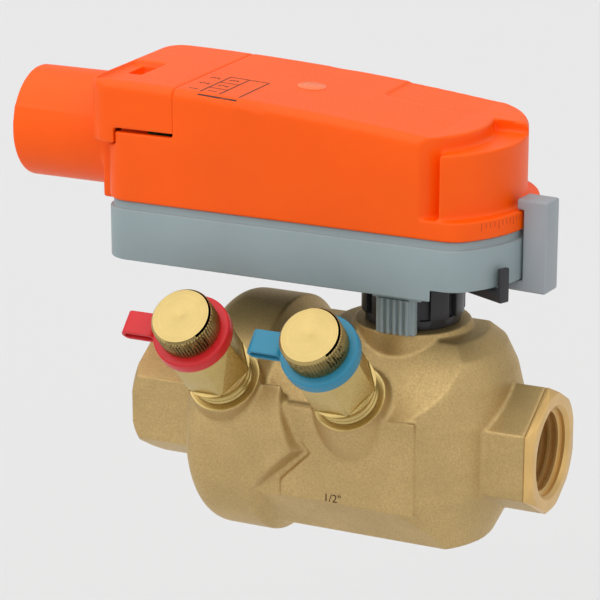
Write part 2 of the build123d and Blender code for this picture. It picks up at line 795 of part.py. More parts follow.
def roof_cut(inset):
    """The side view of everything under the cover's roof, lowered by the inset."""
    left = conduit_end - 5
    with BuildSketch(stem_section.offset(-2 * body_half_width)) as profile:
        with BuildLine():
            left_roof = (terminal_left, roof_left - inset)
            right_roof = (turret_start, roof_right - inset)
            roof = ThreePointArc(left_roof, (roof_middle_at, roof_middle - inset), right_roof)
            far = stem_to_outlet + 10
            drop = (roof_right - roof_middle) / (turret_start - roof_middle_at)
            end_roof = roof_right - inset + drop * 0.4 * (far - turret_start)
            Polyline(right_roof, (far, end_roof), (far, 0), (left, 0), (left, roof_left - inset),
                     left_roof)
        make_face()
    return profile.sketch


second_distance = gear_module * (output_teeth + second_pinion_teeth) / 2
first_distance = gear_module * (second_wheel_teeth + first_pinion_teeth) / 2
motor_distance = gear_module * (first_wheel_teeth + motor_pinion_teeth) / 2


def step_from(spot, distance, direction):
    """The spot at a distance and a direction in degrees from another."""
    return (spot[0] + distance * cos(radians(direction)),
            spot[1] + distance * sin(radians(direction)))


second_spot = step_from((0.0, 0.0), second_distance, second_direction)
first_spot = step_from(second_spot, first_distance, first_direction)
motor_spot = step_from(first_spot, motor_distance, motor_direction)
floor_hole = hub_radius + run_fit
leg_plane_y = crown_radius + loose_gap

with BuildPart() as base_housing:
    extrude(plan_outline(level(base_bottom), 0), amount=band_bottom - base_bottom)
    extrude(plan_outline(level(band_bottom), band_inset), amount=seam_height - band_bottom)
    extrude(plan_outline(level(floor_top), band_inset + housing_wall),
            amount=seam_height - floor_top + 1, mode=Mode.SUBTRACT)
    # relief under the round end for the pointer's sweep
    extrude(sector(level(base_bottom - 1), body_end_radius + 2, relief_half_angle),
            amount=relief_height - base_bottom + 1, mode=Mode.SUBTRACT)
    disc(level(base_bottom - 1), pointer_ring_radius + loose_gap,
         relief_height - base_bottom + 1, mode=Mode.SUBTRACT)
    disc(level(base_bottom), floor_hole, seam_height - base_bottom, mode=Mode.SUBTRACT)
    # columns for the cover screws and the gear plate
    cylinders(level(floor_top - 0.5), cover_screw_spots, boss_radius,
              seam_height - 0.3 - floor_top + 0.5)
    cylinders(level(floor_top - 0.5), pillar_spots, pillar_radius,
              plate_bottom - floor_top + 0.5)
    cylinders(level(base_bottom - 1), cover_screw_spots, cover_screw_radius + run_fit,
              seam_height - base_bottom + 1, mode=Mode.SUBTRACT)
    cylinders(level(base_bottom - 1), cover_screw_spots, cover_screw_head + run_fit, 3.2,
              mode=Mode.SUBTRACT)
    cylinders(level(plate_bottom - 8), pillar_spots, plate_screw_radius + pin_fit, 9,
              mode=Mode.SUBTRACT)
    cylinders(level(axle_bottom), (second_spot, first_spot), axle_radius + pin_fit,
              floor_top - axle_bottom + 1, mode=Mode.SUBTRACT)
    # snap legs front and back with their fluted grips
    for side in (1, -1):
        leg_y = -side * (leg_plane_y + leg_thickness / 2)
        leg_bottom = flange_top + run_fit
        leg = level(leg_bottom, stem_x + leg_offset, leg_y)
        block(leg, leg_width, leg_thickness, base_bottom - leg_bottom + 0.5)
        root = level(base_bottom - leg_root_height, stem_x + leg_offset + leg_root_shift,
                     leg_y - side * leg_root_depth / 2)
        block(root, leg_width + 2 * leg_root_rim, leg_thickness + leg_root_depth,
              leg_root_height + 0.5)
        flute_y = leg_y - side * (leg_thickness + flute_depth) / 2
        grip = level(leg_bottom, stem_x + leg_offset, flute_y)
        with BuildSketch(grip) as flutes:
            with GridLocations(leg_width / leg_flutes * 0.8, 1, leg_flutes, 1):
                Rectangle(flute_width, flute_depth + 0.1)
        extrude(flutes.sketch, amount=base_bottom - leg_bottom - flute_end)
        hook = level(flange_top + 0.5, stem_x + leg_offset, -side * (leg_plane_y - leg_hook / 2))
        block(hook, leg_width - 2, leg_hook + 0.2, crown_base_height - 0.8)

base_housing.part.label = "base_housing"
export_step(base_housing.part, "parts/base_housing.step")

with BuildPart() as cover_seal:
    extrude(plan_outline(level(seam_height), housing_wall + 0.1), amount=seal_height)
    extrude(plan_outline(level(seam_height), housing_wall + 0.7), amount=seal_height,
            mode=Mode.SUBTRACT)

cover_seal.part.label = "cover_seal"
export_step(cover_seal.part, "parts/cover_seal.step")


def cover_form(inset):
    """The cover as a solid: rim, box and turret under the curved roof, less an inset."""
    with BuildPart() as form:
        extrude(plan_outline(level(seam_height), inset), amount=rim_top - seam_height - inset)
        extrude(turret_outline(level(seam_height), inset), amount=roof_left - seam_height)
        extrude(roof_cut(inset), amount=4 * body_half_width, both=True, mode=Mode.INTERSECT)
    return form.part


terminal_box_left = stem_x + terminal_left
terminal_box_right = stem_x + terminal_right
arm_right_x = stem_x + terminal_arm_right
cover_left_x = stem_x + body_left


def side_box(x_low, x_high, z_low, z_high, half_width):
    """The middle and size of a box given by its limits, for block()."""
    plane = level(z_low, (x_low + x_high) / 2)
    return plane, x_high - x_low, 2 * half_width, z_high - z_low


with BuildPart() as recess_form:
    # everything above a slightly lower roof, behind the turret's front edge
    with BuildSketch(level(roof_right - 6)) as shallow:
        with Locations((roof_recess_start + roof_recess_length / 2,
                        roof_recess_front + roof_recess_width / 2)):
            Rectangle(roof_recess_length, roof_recess_width)
        fillet(shallow.vertices().group_by(Axis.X)[0].sort_by(Axis.Y)[0:1], roof_recess_corner)
    extrude(shallow.sketch, amount=20)
    extrude(roof_cut(roof_recess_depth), amount=4 * body_half_width, both=True,
            mode=Mode.SUBTRACT)

beyond_turret = turret_radius + 20
roof_clearance = 30.0
groove_reach = turret_left - roof_end_spot[0]
groove_back = roof_end_spot[1] - sqrt(roof_end_radius ** 2 - groove_reach ** 2)

with BuildPart() as hollow:
    # room inside the cover, a wall away from its roof, its ledge and its groove
    add(cover_form(housing_wall))
    extrude(beyond_roof_end(level(ledge_height - housing_wall), housing_wall, beyond_turret,
                            ledge_back + housing_wall),
            amount=roof_clearance, mode=Mode.SUBTRACT)
    extrude(beyond_roof_end(level(rim_top - housing_wall), groove_wall,
                            turret_left + groove_wall, groove_back + groove_wall),
            amount=roof_clearance, mode=Mode.SUBTRACT)

with BuildPart() as top_cover:
    add(cover_form(0))
    roof_edges = top_cover.edges().filter_by_position(Axis.Z, roof_right - 6, roof_left + 1)
    roof_edges = roof_edges.filter_by(lambda edge: abs(edge.tangent_at(0.5).Z) < 0.5)
    fillet(roof_edges, roof_round)
    # lower front of the turret, groove beside it and shallow recess in the roof
    extrude(beyond_roof_end(level(ledge_height), 0, beyond_turret, ledge_back),
            amount=roof_clearance, mode=Mode.SUBTRACT)
    extrude(beyond_roof_end(level(rim_top), 0, turret_left, groove_back),
            amount=roof_clearance, mode=Mode.SUBTRACT)
    add(recess_form.part, mode=Mode.SUBTRACT)
    # hollow inside
    add(hollow.part, mode=Mode.SUBTRACT)
    # room for the terminal cover
    block(*side_box(cover_left_x - 5, terminal_box_right, terminal_bottom - split_gap,
                    roof_left + 5, body_half_width + 1), mode=Mode.SUBTRACT)
    block(*side_box(cover_left_x - 5, arm_right_x + split_gap, terminal_arm_bottom - split_gap,
                    roof_left + 5, body_half_width + 1), mode=Mode.SUBTRACT)
    block(*side_box(cover_left_x - 5, cover_left_x + body_corner, seam_height - 1,
                    roof_left, conduit_radius + 0.6), mode=Mode.SUBTRACT)
    # columns for the cover screws
    for spot in cover_screw_spots:
        column_top = roof_middle - 4 if spot[0] > terminal_right else terminal_bottom - 3
        cylinders(level(seam_height + seal_height), [spot], boss_radius,
                  column_top - seam_height - seal_height)
    cylinders(level(seam_height - 1), cover_screw_spots, cover_screw_radius + pin_fit,
              cover_screw_top - seam_height + 1.2, mode=Mode.SUBTRACT)

top_cover.part.label = "top_cover"
export_step(top_cover.part, "parts/top_cover.step")

# ---------------------------------------------------------------- terminal cover
with BuildPart() as terminal_cover:
    block(*side_box(terminal_box_left, terminal_box_right, terminal_bottom, roof_left + 5,
                    body_half_width))
    block(*side_box(terminal_box_left, arm_right_x, terminal_arm_bottom, terminal_bottom + 1,
                    body_half_width))
    vertical = terminal_cover.edges().filter_by(Axis.Z).group_by(Axis.X)[0]
    fillet(vertical, terminal_corner)
    extrude(roof_cut(0), amount=4 * body_half_width, both=True, mode=Mode.INTERSECT)
    roof_edges = terminal_cover.faces().sort_by(Axis.Z)[-1].edges()
    roof_edges = roof_edges.filter_by(lambda edge: edge.center().X < terminal_box_right - 0.5)
    fillet(roof_edges, roof_round)
    block(*side_box(terminal_box_left, terminal_box_left + terminal_end_wall, conduit_height - conduit_radius,
                    roof_left - 5, conduit_radius))
    # hollow inside
    inner = (terminal_box_left + terminal_end_wall, terminal_box_right + 1, 40,
             roof_left - 2 - terminal_wall, body_half_width - terminal_wall)
    block(*side_box(*inner), mode=Mode.SUBTRACT)
    # conduit tube
    tube_length = stem_x + terminal_left + 1 - (stem_x + conduit_end)
    disc(Plane(origin=(stem_x + conduit_end, 0, conduit_height), x_dir=(0, 1, 0),
               z_dir=(1, 0, 0)), conduit_radius, tube_length)
    disc(Plane(origin=(stem_x + conduit_end - 1, 0, conduit_height), x_dir=(0, 1, 0),
               z_dir=(1, 0, 0)), conduit_bore_radius, tube_length + 8, mode=Mode.SUBTRACT)
    # thumb pocket in the roof with a deeper window at its back
    for (left, right, front, back), depth in ((pocket, pocket_depth), (latch_window, window_depth)):
        recess = level(roof_left - depth, stem_x + (left + right) / 2, (front + back) / 2)
        block(recess, right - left, back - front, depth + 5, mode=Mode.SUBTRACT)

terminal_cover.part.label = "terminal_cover"
export_step(terminal_cover.part, "parts/terminal_cover.step")

# ---------------------------------------------------------------- output hub and pointer


def gear_face(plane, teeth, phase):
    """A spur gear's outline: short straight-sided teeth with room to run."""
    pitch_radius = gear_module * teeth / 2
    tip = pitch_radius + tooth_height_out * gear_module
    root = pitch_radius - tooth_height_in * gear_module
    pitch = pi * gear_module
    with BuildSketch(plane) as face:
        Circle(root)
        with PolarLocations(0, teeth, start_angle=phase):
            Polygon((root - 0.3, -0.26 * pitch), (tip, -0.11 * pitch),
                    (tip, 0.11 * pitch), (root - 0.3, 0.26 * pitch), align=None)
    return face.sketch


def mesh_phase(direction, phase, teeth, next_teeth):
    """The angle of a tooth of the next gear that meshes with this one."""
    turn = -(phase - direction) * teeth / next_teeth
    return direction + 180 + turn + 180 / next_teeth


output_phase = 0.0
second_phase = mesh_phase(second_direction, output_phase, output_teeth, second_pinion_teeth)
first_phase = mesh_phase(first_direction, 0.0, second_wheel_teeth, first_pinion_teeth)
motor_phase = mesh_phase(motor_direction, 0.0, first_wheel_teeth, motor_pinion_teeth)

with BuildPart() as output_hub:
    disc(level(hub_bottom), hub_radius, output_level - hub_bottom)
    extrude(gear_face(level(output_level), output_teeth, output_phase), amount=output_face)
    disc(level(output_level), journal_radius, plate_bottom + plate_thickness - output_level)
    block(level(hub_bottom - 1), stem_square + 2 * pin_fit, stem_square + 2 * pin_fit,
          stem_top + 0.3 - hub_bottom + 1, mode=Mode.SUBTRACT)

output_hub.part.label = "output_hub"
export_step(output_hub.part, "parts/output_hub.step")

pointer_bottom = crown_top + 0.2
pointer_way = Vector(cos(radians(pointer_angle)), sin(radians(pointer_angle)), 0)

with BuildPart() as pointer:
    disc(level(pointer_bottom), pointer_ring_radius, pointer_thickness,
         hole=hub_radius + pin_fit)
    arm_start = hub_radius + 1
    arm_end = finger_radius + finger_thickness / 2
    arm = Plane(origin=Vector(stem_x, 0, pointer_bottom) + pointer_way * (arm_start + arm_end) / 2,
                x_dir=pointer_way, z_dir=(0, 0, 1))
    block(arm, arm_end - arm_start, pointer_arm_width, pointer_thickness)
    finger = Plane(origin=Vector(stem_x, 0, pointer_bottom) + pointer_way * finger_radius,
                   x_dir=pointer_way, z_dir=(0, 0, 1))
    block(finger, finger_thickness, finger_width, finger_top - pointer_bottom)

pointer.part.label = "pointer"
export_step(pointer.part, "parts/pointer.step")

# ---------------------------------------------------------------- end stop clip
stop_way = Vector(cos(radians(stop_angle)), sin(radians(stop_angle)), 0)
stop_foot_top = relief_height - run_fit - 0.1
stop_section = Plane(origin=(stem_x, 0, 0), x_dir=stop_way, z_dir=stop_way.cross(Vector(0, 0, 1)))

with BuildPart() as end_stop_clip:
    hook_bottom = rim_top + run_fit + 0.1
    foot_bottom = stop_foot_top - stop_foot_thickness
    wall_inner = stop_outer_radius - stop_wall
    with BuildSketch(stop_section.offset(-stop_width / 2)) as clip_section:
        with BuildLine():
            Polyline((stop_foot_radius, foot_bottom), (stop_outer_radius, foot_bottom),
                     (stop_outer_radius, stop_top), (stop_hook_radius, stop_top),
                     (stop_hook_radius, hook_bottom), (wall_inner, hook_bottom),
                     (wall_inner, stop_foot_top), (stop_foot_radius, stop_foot_top), close=True)
        make_face()
        fillet(clip_section.vertices().group_by(Axis.Y)[0].sort_by(Axis.X)[-1:], 0.8)
    extrude(clip_section.sketch, amount=stop_width)

end_stop_clip.part.label = "end_stop_clip"
export_step(end_stop_clip.part, "parts/end_stop_clip.step")

# ---------------------------------------------------------------- gear train
for name, spot, phase_low, teeth_low, phase_high, teeth_high, low, high, face in (
        ("second_gear", second_spot, second_phase, second_pinion_teeth, 0.0,
         second_wheel_teeth, output_level - 0.1, second_level, second_face),
        ("first_gear", first_spot, first_phase, first_pinion_teeth, 0.0,
         first_wheel_teeth, second_level - 0.2, first_level, first_face)):
    with BuildPart() as gear:
        centre = (stem_x + spot[0], spot[1])
        extrude(gear_face(level(low, *centre), teeth_low, phase_low), amount=high - low)
        extrude(gear_face(level(high, *centre), teeth_high, phase_high), amount=face)
        disc(level(floor_top + loose_gap, *centre), axle_radius + 1.4,
             low - floor_top - loose_gap)
        disc(level(high, *centre), axle_radius + 1.4, plate_bottom - loose_gap - high)
        disc(level(floor_top, *centre), axle_radius + run_fit, plate_bottom - floor_top,
             mode=Mode.SUBTRACT)
    gear.part.label = name
    export_step(gear.part, f"parts/{name}.step")

with BuildPart() as gear_axles:
    cylinders(level(axle_bottom + 0.1), (second_spot, first_spot), axle_radius,
              plate_bottom + plate_thickness - axle_bottom - 0.1)

gear_axles.part.label = "gear_axles"
export_step(gear_axles.part, "parts/gear_axles.step")

with BuildPart() as gear_plate:
    with BuildSketch(level(plate_bottom)) as plate_face:
        with Locations(((plate_left + plate_right) / 2, 0)):
            Rectangle(plate_right - plate_left, 2 * plate_half_width)
        fillet(plate_face.vertices().group_by(Axis.X)[-1], plate_right_corner)
        fillet(plate_face.vertices().group_by(Axis.X)[0], 2)
        for spot in cover_screw_spots:
            with Locations(spot):
                Circle(boss_radius + loose_gap, mode=Mode.SUBTRACT)
        Circle(journal_radius + run_fit, mode=Mode.SUBTRACT)
        with Locations(second_spot, first_spot):
            Circle(axle_radius + pin_fit, mode=Mode.SUBTRACT)
        with Locations(*pillar_spots):
            Circle(plate_screw_radius + pin_fit, mode=Mode.SUBTRACT)
        with Locations(motor_spot):
            Circle(motor_shaft_radius + 0.6, mode=Mode.SUBTRACT)
    extrude(plate_face.sketch, amount=plate_thickness)

gear_plate.part.label = "gear_plate"
export_step(gear_plate.part, "parts/gear_plate.step")

plate_top = plate_bottom + plate_thickness

with BuildPart() as plate_screws:
    cylinders(level(plate_bottom - 7), pillar_spots, plate_screw_radius, plate_thickness + 7)
    cylinders(level(plate_top), pillar_spots[2:], 2 * plate_screw_radius, 1.4)
    standoff = board_bottom - plate_top
    cylinders(level(plate_top), pillar_spots[:2], 2 * plate_screw_radius, standoff)

plate_screws.part.label = "plate_screws"
export_step(plate_screws.part, "parts/plate_screws.step")

motor_centre = (stem_x + motor_spot[0], motor_spot[1])

with BuildPart() as motor:
    disc(level(plate_top, *motor_centre), motor_radius, motor_height)
    chamfer(motor.faces().sort_by(Axis.Z)[-1].edges(), 0.8)
    disc(level(plate_top - 1, *motor_centre), motor_shaft_radius + run_fit, 6,
         mode=Mode.SUBTRACT)

motor.part.label = "motor"
export_step(motor.part, "parts/motor.step")

with BuildPart() as motor_pinion:
    extrude(gear_face(level(first_level - 0.2, *motor_centre), motor_pinion_teeth, motor_phase),
            amount=first_face + 0.4)
    disc(level(first_level, *motor_centre), motor_shaft_radius, plate_top + 4 - first_level)

motor_pinion.part.label = "motor_pinion"
export_step(motor_pinion.part, "parts/motor_pinion.step")

# ---------------------------------------------------------------- electronics
board_top = board_bottom + board_thickness

with BuildPart() as circuit_board:
    with BuildSketch(level(board_bottom)) as board_face:
        with Locations(((board_left + board_right) / 2, 0)):
            Rectangle(board_right - board_left, 2 * board_half_width)
        for spot in cover_screw_spots:
            with Locations(spot):
                Circle(boss_radius + loose_gap, mode=Mode.SUBTRACT)
    extrude(board_face.sketch, amount=board_thickness)

circuit_board.part.label = "circuit_board"
export_step(circuit_board.part, "parts/circuit_board.step")

block_x = stem_x + board_left + 1 + block_length / 2

with BuildPart() as terminal_block:
    block(level(board_top, block_x), block_length, 2 * block_half_span, block_height)
    pitch = 2 * block_half_span / terminal_count
    for index in range(terminal_count):
        y = (index - (terminal_count - 1) / 2) * pitch
        disc(level(board_top + block_height - 4, block_x, y), 2.2 + pin_fit, 5,
             mode=Mode.SUBTRACT)
        with BuildSketch(across(block_x - block_length)) as wire_way:
            with Locations((y, board_top + 2.4)):
                Rectangle(pitch * 0.55, 3)
        extrude(wire_way.sketch, amount=block_length, mode=Mode.SUBTRACT)

terminal_block.part.label = "terminal_block"
export_step(terminal_block.part, "parts/terminal_block.step")

with BuildPart() as terminal_screws:
    for index in range(terminal_count):
        y = (index - (terminal_count - 1) / 2) * pitch
        disc(level(board_top + block_height - 4, block_x, y), 2.2, 3)
        block(level(board_top + block_height - 1.6, block_x, y), 4.6, 0.8, 1,
              mode=Mode.SUBTRACT)

terminal_screws.part.label = "terminal_screws"
export_step(terminal_screws.part, "parts/terminal_screws.step")

with BuildPart() as board_parts:
    part_x = stem_x + board_right - 5
    block(level(board_top, part_x, 9), 7, 11, 6.5)
    disc(level(board_top, part_x, -3), 3.2, 8)
    disc(level(board_top, part_x, -11), 3.2, 8)

board_parts.part.label = "board_parts"
export_step(board_parts.part, "parts/board_parts.step")

# ---------------------------------------------------------------- cover screws
with BuildPart() as cover_screws:
    cylinders(level(base_bottom + 0.2), cover_screw_spots, cover_screw_head, 2.0)
    cylinders(level(base_bottom + 1), cover_screw_spots, cover_screw_radius,
              cover_screw_top - base_bottom - 1)
    for spot in cover_screw_spots:
        for angle in (0, 90):
            groove = Plane(origin=(stem_x + spot[0], spot[1], base_bottom),
                           x_dir=(cos(radians(angle)), sin(radians(angle)), 0),
                           z_dir=(0, 0, 1))
            block(groove, 3.2, 0.8, 1.2, mode=Mode.SUBTRACT)

cover_screws.part.label = "cover_screws"
export_step(cover_screws.part, "parts/cover_screws.step")
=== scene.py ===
"""Looks of a motorized valve actuator on a half-inch pressure independent control valve.

Metres, in the frame of the CAD part: the origin is the centre of the inlet port's open face,
+X runs to the outlet, +Z up the valve stem, and the test ports face -Y.
"""

import json
import math

import bpy
from mathutils import Matrix, Vector
from mathutils.bvhtree import BVHTree

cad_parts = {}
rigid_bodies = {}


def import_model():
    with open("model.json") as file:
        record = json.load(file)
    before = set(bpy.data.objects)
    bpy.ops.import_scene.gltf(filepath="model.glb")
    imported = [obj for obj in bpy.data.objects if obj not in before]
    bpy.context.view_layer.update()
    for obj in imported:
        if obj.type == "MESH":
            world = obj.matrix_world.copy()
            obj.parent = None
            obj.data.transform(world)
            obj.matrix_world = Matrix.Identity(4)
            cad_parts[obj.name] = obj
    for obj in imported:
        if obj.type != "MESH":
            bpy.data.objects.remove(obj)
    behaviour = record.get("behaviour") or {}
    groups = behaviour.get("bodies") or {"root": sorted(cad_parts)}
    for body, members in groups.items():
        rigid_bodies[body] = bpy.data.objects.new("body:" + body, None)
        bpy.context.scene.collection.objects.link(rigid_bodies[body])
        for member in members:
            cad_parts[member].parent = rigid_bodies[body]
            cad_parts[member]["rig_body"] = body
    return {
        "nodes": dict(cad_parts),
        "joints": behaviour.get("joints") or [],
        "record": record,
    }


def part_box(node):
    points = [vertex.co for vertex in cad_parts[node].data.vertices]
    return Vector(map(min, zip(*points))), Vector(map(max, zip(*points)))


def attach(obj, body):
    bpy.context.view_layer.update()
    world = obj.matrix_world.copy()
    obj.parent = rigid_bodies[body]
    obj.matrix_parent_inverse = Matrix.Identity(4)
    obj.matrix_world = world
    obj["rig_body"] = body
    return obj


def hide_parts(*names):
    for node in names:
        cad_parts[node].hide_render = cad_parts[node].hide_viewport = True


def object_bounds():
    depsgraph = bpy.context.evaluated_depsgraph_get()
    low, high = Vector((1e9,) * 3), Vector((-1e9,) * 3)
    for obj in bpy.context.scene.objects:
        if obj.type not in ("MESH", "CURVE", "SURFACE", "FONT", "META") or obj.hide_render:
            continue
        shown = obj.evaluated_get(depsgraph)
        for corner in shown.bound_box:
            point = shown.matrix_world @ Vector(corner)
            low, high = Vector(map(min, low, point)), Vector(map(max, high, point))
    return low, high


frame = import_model()
cad_low, cad_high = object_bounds()

MM = 0.001
HOUSING = "valve_and_housing"
nodes = frame["nodes"]
joints = {joint["name"]: joint for joint in frame["joints"]}
slots = {part["node"]: part["material_slot"] for part in frame["record"]["subparts"]}


# ---------------------------------------------------------------- working with pieces
def deselect():
    bpy.ops.object.select_all(action="DESELECT")


def only(piece):
    """Makes one piece the selected and active one."""
    deselect()
    piece.select_set(True)
    bpy.context.view_layer.objects.active = piece


def editing(piece, mode="FACE"):
    """Opens a piece in edit mode with nothing selected."""
    only(piece)
    bpy.ops.object.mode_set(mode="EDIT")
    bpy.context.tool_settings.mesh_select_mode = (mode == "VERT", mode == "EDGE", mode == "FACE")
    bpy.ops.mesh.select_all(action="DESELECT")


def pick(piece, kind, test):
    """Selects the open piece's vertices, edges or faces that pass a test, and counts them."""
    bpy.ops.object.mode_set(mode="OBJECT")
    found = 0
    for element in getattr(piece.data, kind):
        element.select = bool(test(element))
        found += element.select
    bpy.ops.object.mode_set(mode="EDIT")
    return found


def done():
    bpy.ops.object.mode_set(mode="OBJECT")


def settle(piece):
    """Leaves a piece at the origin, unturned and unscaled, with its place in its mesh."""
    only(piece)
    bpy.ops.object.transform_apply(location=True, rotation=True, scale=True)
    return piece


def modify(piece, kind, **settings):
    """Adds a modifier and applies it."""
    modifier = piece.modifiers.new(kind.title(), kind)
    for name, value in settings.items():
        setattr(modifier, name, value)
    only(piece)
    bpy.ops.object.modifier_apply(modifier=modifier.name)


def smooth(piece, angle=35):
    only(piece)
    bpy.ops.object.shade_smooth_by_angle(angle=math.radians(angle))


def bevel(piece, width, segments=2, angle=30, clamp=True):
    modify(piece, "BEVEL", width=width, segments=segments, limit_method="ANGLE",
           angle_limit=math.radians(angle), use_clamp_overlap=clamp)


def added(name):
    """Names the primitive that was just added."""
    piece = bpy.context.object
    piece.name = name
    piece.data.name = name
    return piece


def join(name, pieces):
    deselect()
    for piece in pieces:
        piece.select_set(True)
    bpy.context.view_layer.objects.active = pieces[0]
    bpy.ops.object.join()
    return added(name)


def cad_copy(node, name):
    """A copy of a CAD node with its own mesh, its doubled vertices merged."""
    piece = nodes[node].copy()
    piece.data = nodes[node].data.copy()
    piece.name = name
    piece.data.name = name
    for key in list(piece.keys()):
        del piece[key]
    bpy.context.scene.collection.objects.link(piece)
    piece.parent = None
    editing(piece, "VERT")
    bpy.ops.mesh.select_all(action="SELECT")
    bpy.ops.mesh.remove_doubles(threshold=0.002 * MM)
    done()
    return piece


def clean_flats(piece, angle=0.5):
    """Turns the triangles of each flat face into one face, so that edges can be bevelled."""
    editing(piece, "FACE")
    bpy.ops.mesh.select_all(action="SELECT")
    bpy.ops.mesh.dissolve_limited(angle_limit=math.radians(angle))
    done()


def place(piece, finish, body, slot, *replaced):
    """Gives a finished piece its material, its body and the CAD nodes it stands for."""
    piece.data.materials.clear()
    piece.data.materials.append(finish)
    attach(piece, body)
    if replaced:
        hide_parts(*replaced)
    return piece


def softened(node, finish, width, segments=2, angle=30, clamp=False):
    """A CAD node's copy with its moulded or turned edges rounded."""
    body = nodes[node]["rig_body"]
    piece = cad_copy(node, node + "_finished")
    clean_flats(piece)
    bevel(piece, width, segments, angle, clamp)
    smooth(piece)
    return place(piece, finish, body, slots[node], node)


# ---------------------------------------------------------------- materials
class Wire:
    """An output of a material's node, for writing shader sums as expressions."""

    def __init__(self, finish, socket):
        self.finish = finish
        self.socket = socket

    def maths(self, operation, *values):
        names = range(len(values))
        return self.finish.add("Math", {"operation": operation}, dict(zip(names, values)))

    def __add__(self, other):
        return self.maths("ADD", self, other)

    def __mul__(self, other):
        return self.maths("MULTIPLY", self, other)

    def __pow__(self, other):
        return self.maths("POWER", self, other)

    __radd__ = __add__
    __rmul__ = __mul__


class Finish:
    """A material built from nodes around one Principled shader."""

    def __init__(self, name, colour, roughness, metallic=0.0, **shader_values):
        self.material = bpy.data.materials.new(name)
        self.material.use_nodes = True
        self.tree = self.material.node_tree
        self.shader = self.tree.nodes["Principled BSDF"]
        self.set(Base_Color=(*colour, 1), Roughness=roughness, Metallic=metallic, **shader_values)

    def set(self, **values):
        """Sets or links the shader's sockets; an underscore in a name stands for a space."""
        for name, value in values.items():
            self.feed(self.shader.inputs[name.replace("_", " ")], value)

    def feed(self, socket, value):
        if isinstance(value, Wire):
            self.tree.links.new(value.socket, socket)
        else:
            socket.default_value = value

    def add(self, kind, settings=(), sockets=(), out=0):
        """Adds a node: its settings first, then the values or wires of its sockets."""
        node = self.tree.nodes.new("ShaderNode" + kind)
        for name, value in dict(settings).items():
            setattr(node, name, value)
        for name, value in dict(sockets).items():
            self.feed(node.inputs[name], value)
        return Wire(self, node.outputs[out])

    def place(self, origin=(0, 0, 0), turn=(0, 0, 0), scale=(1, 1, 1)):
        """Object coordinates measured from an origin, turned and scaled."""
        spot = self.add("TexCoord", out="Object")
        if any(origin):
            spot = self.add("VectorMath", {"operation": "SUBTRACT"}, {0: spot, 1: origin})
        if any(turn) or scale != (1, 1, 1):
            spot = self.add("Mapping", {"vector_type": "POINT"},
                            {"Vector": spot, "Rotation": turn, "Scale": scale})
        return spot

    def noise(self, vector, scale, detail=2.0, roughness=0.5):
        return self.add("TexNoise", {"noise_dimensions": "3D"},
                        {"Vector": vector, "Scale": scale, "Detail": detail,
                         "Roughness": roughness})

    def mix(self, factor, first, second):
        """Mixes two colours; a colour is a triple or a wire."""
        first, second = (c if isinstance(c, Wire) else (*c, 1) for c in (first, second))
        return self.add("Mix", {"data_type": "RGBA"},
                        {0: factor, 6: first, 7: second}, out=2)

    def spread(self, wire, low, high, to_low=0.0, to_high=1.0):
        """Maps a range of values onto another and clamps it there."""
        return self.add("MapRange", {"clamp": True},
                        {"Value": wire, "From Min": low, "From Max": high,
                         "To Min": to_low, "To Max": to_high})

    def bump(self, height, strength, distance):
        self.set(Normal=self.add("Bump", {}, {"Strength": strength, "Distance": distance,
                                              "Height": height}))


def linear(red, green, blue):
    """A colour of a paint card, 0 to 255, as the shader wants it."""
    parts = []
    for value in (red, green, blue):
        share = value / 255
        parts.append(share / 12.92 if share <= 0.04045 else ((share + 0.055) / 1.055) ** 2.4)
    return tuple(parts)


def shade(colour, factor):
    return tuple(min(1.0, part * factor) for part in colour)


def moulded_plastic(name, colour, roughness, grain=0.25, grain_size=0.35, shine=0.35):
    """Moulded plastic: faint flow marks, a fine eroded grain and slightly uneven gloss."""
    finish = Finish(name, colour, roughness, Specular_IOR_Level=shine)
    spot = finish.place()
    flow = finish.noise(spot, 45, 3)
    fine = finish.noise(spot, 1 / (grain_size * MM), 2)
    finish.set(Base_Color=finish.mix(finish.spread(flow, 0.3, 0.7), shade(colour, 0.95),
                                     shade(colour, 1.05)),
               Roughness=finish.spread(fine, 0.3, 0.7, roughness - 0.06, roughness + 0.06))
    finish.bump(fine, grain, 0.03 * MM)
    return finish.material


def blasted_brass(name, colour):
    """Forged brass after shot blasting: small pits, cloudy tarnish and a soft metal sheen."""
    finish = Finish(name, colour, 0.5, 0.85)
    spot = finish.place()
    cloud = finish.noise(spot, 70, 4, 0.6)
    pits = finish.noise(spot, 4200, 2, 0.6)
    grains = finish.noise(spot, 2300, 3, 0.7)
    tarnish = finish.mix(finish.spread(cloud, 0.35, 0.7), shade(colour, 1.08),
                         shade(colour, 0.88))
    finish.set(Base_Color=finish.mix(finish.spread(grains, 0.35, 0.65, 0, 0.55), tarnish,
                                     shade(colour, 0.72)),
               Roughness=finish.spread(grains, 0.3, 0.7, 0.42, 0.6))
    finish.bump(pits * 0.6 + grains, 0.5, 0.06 * MM)
    return finish.material


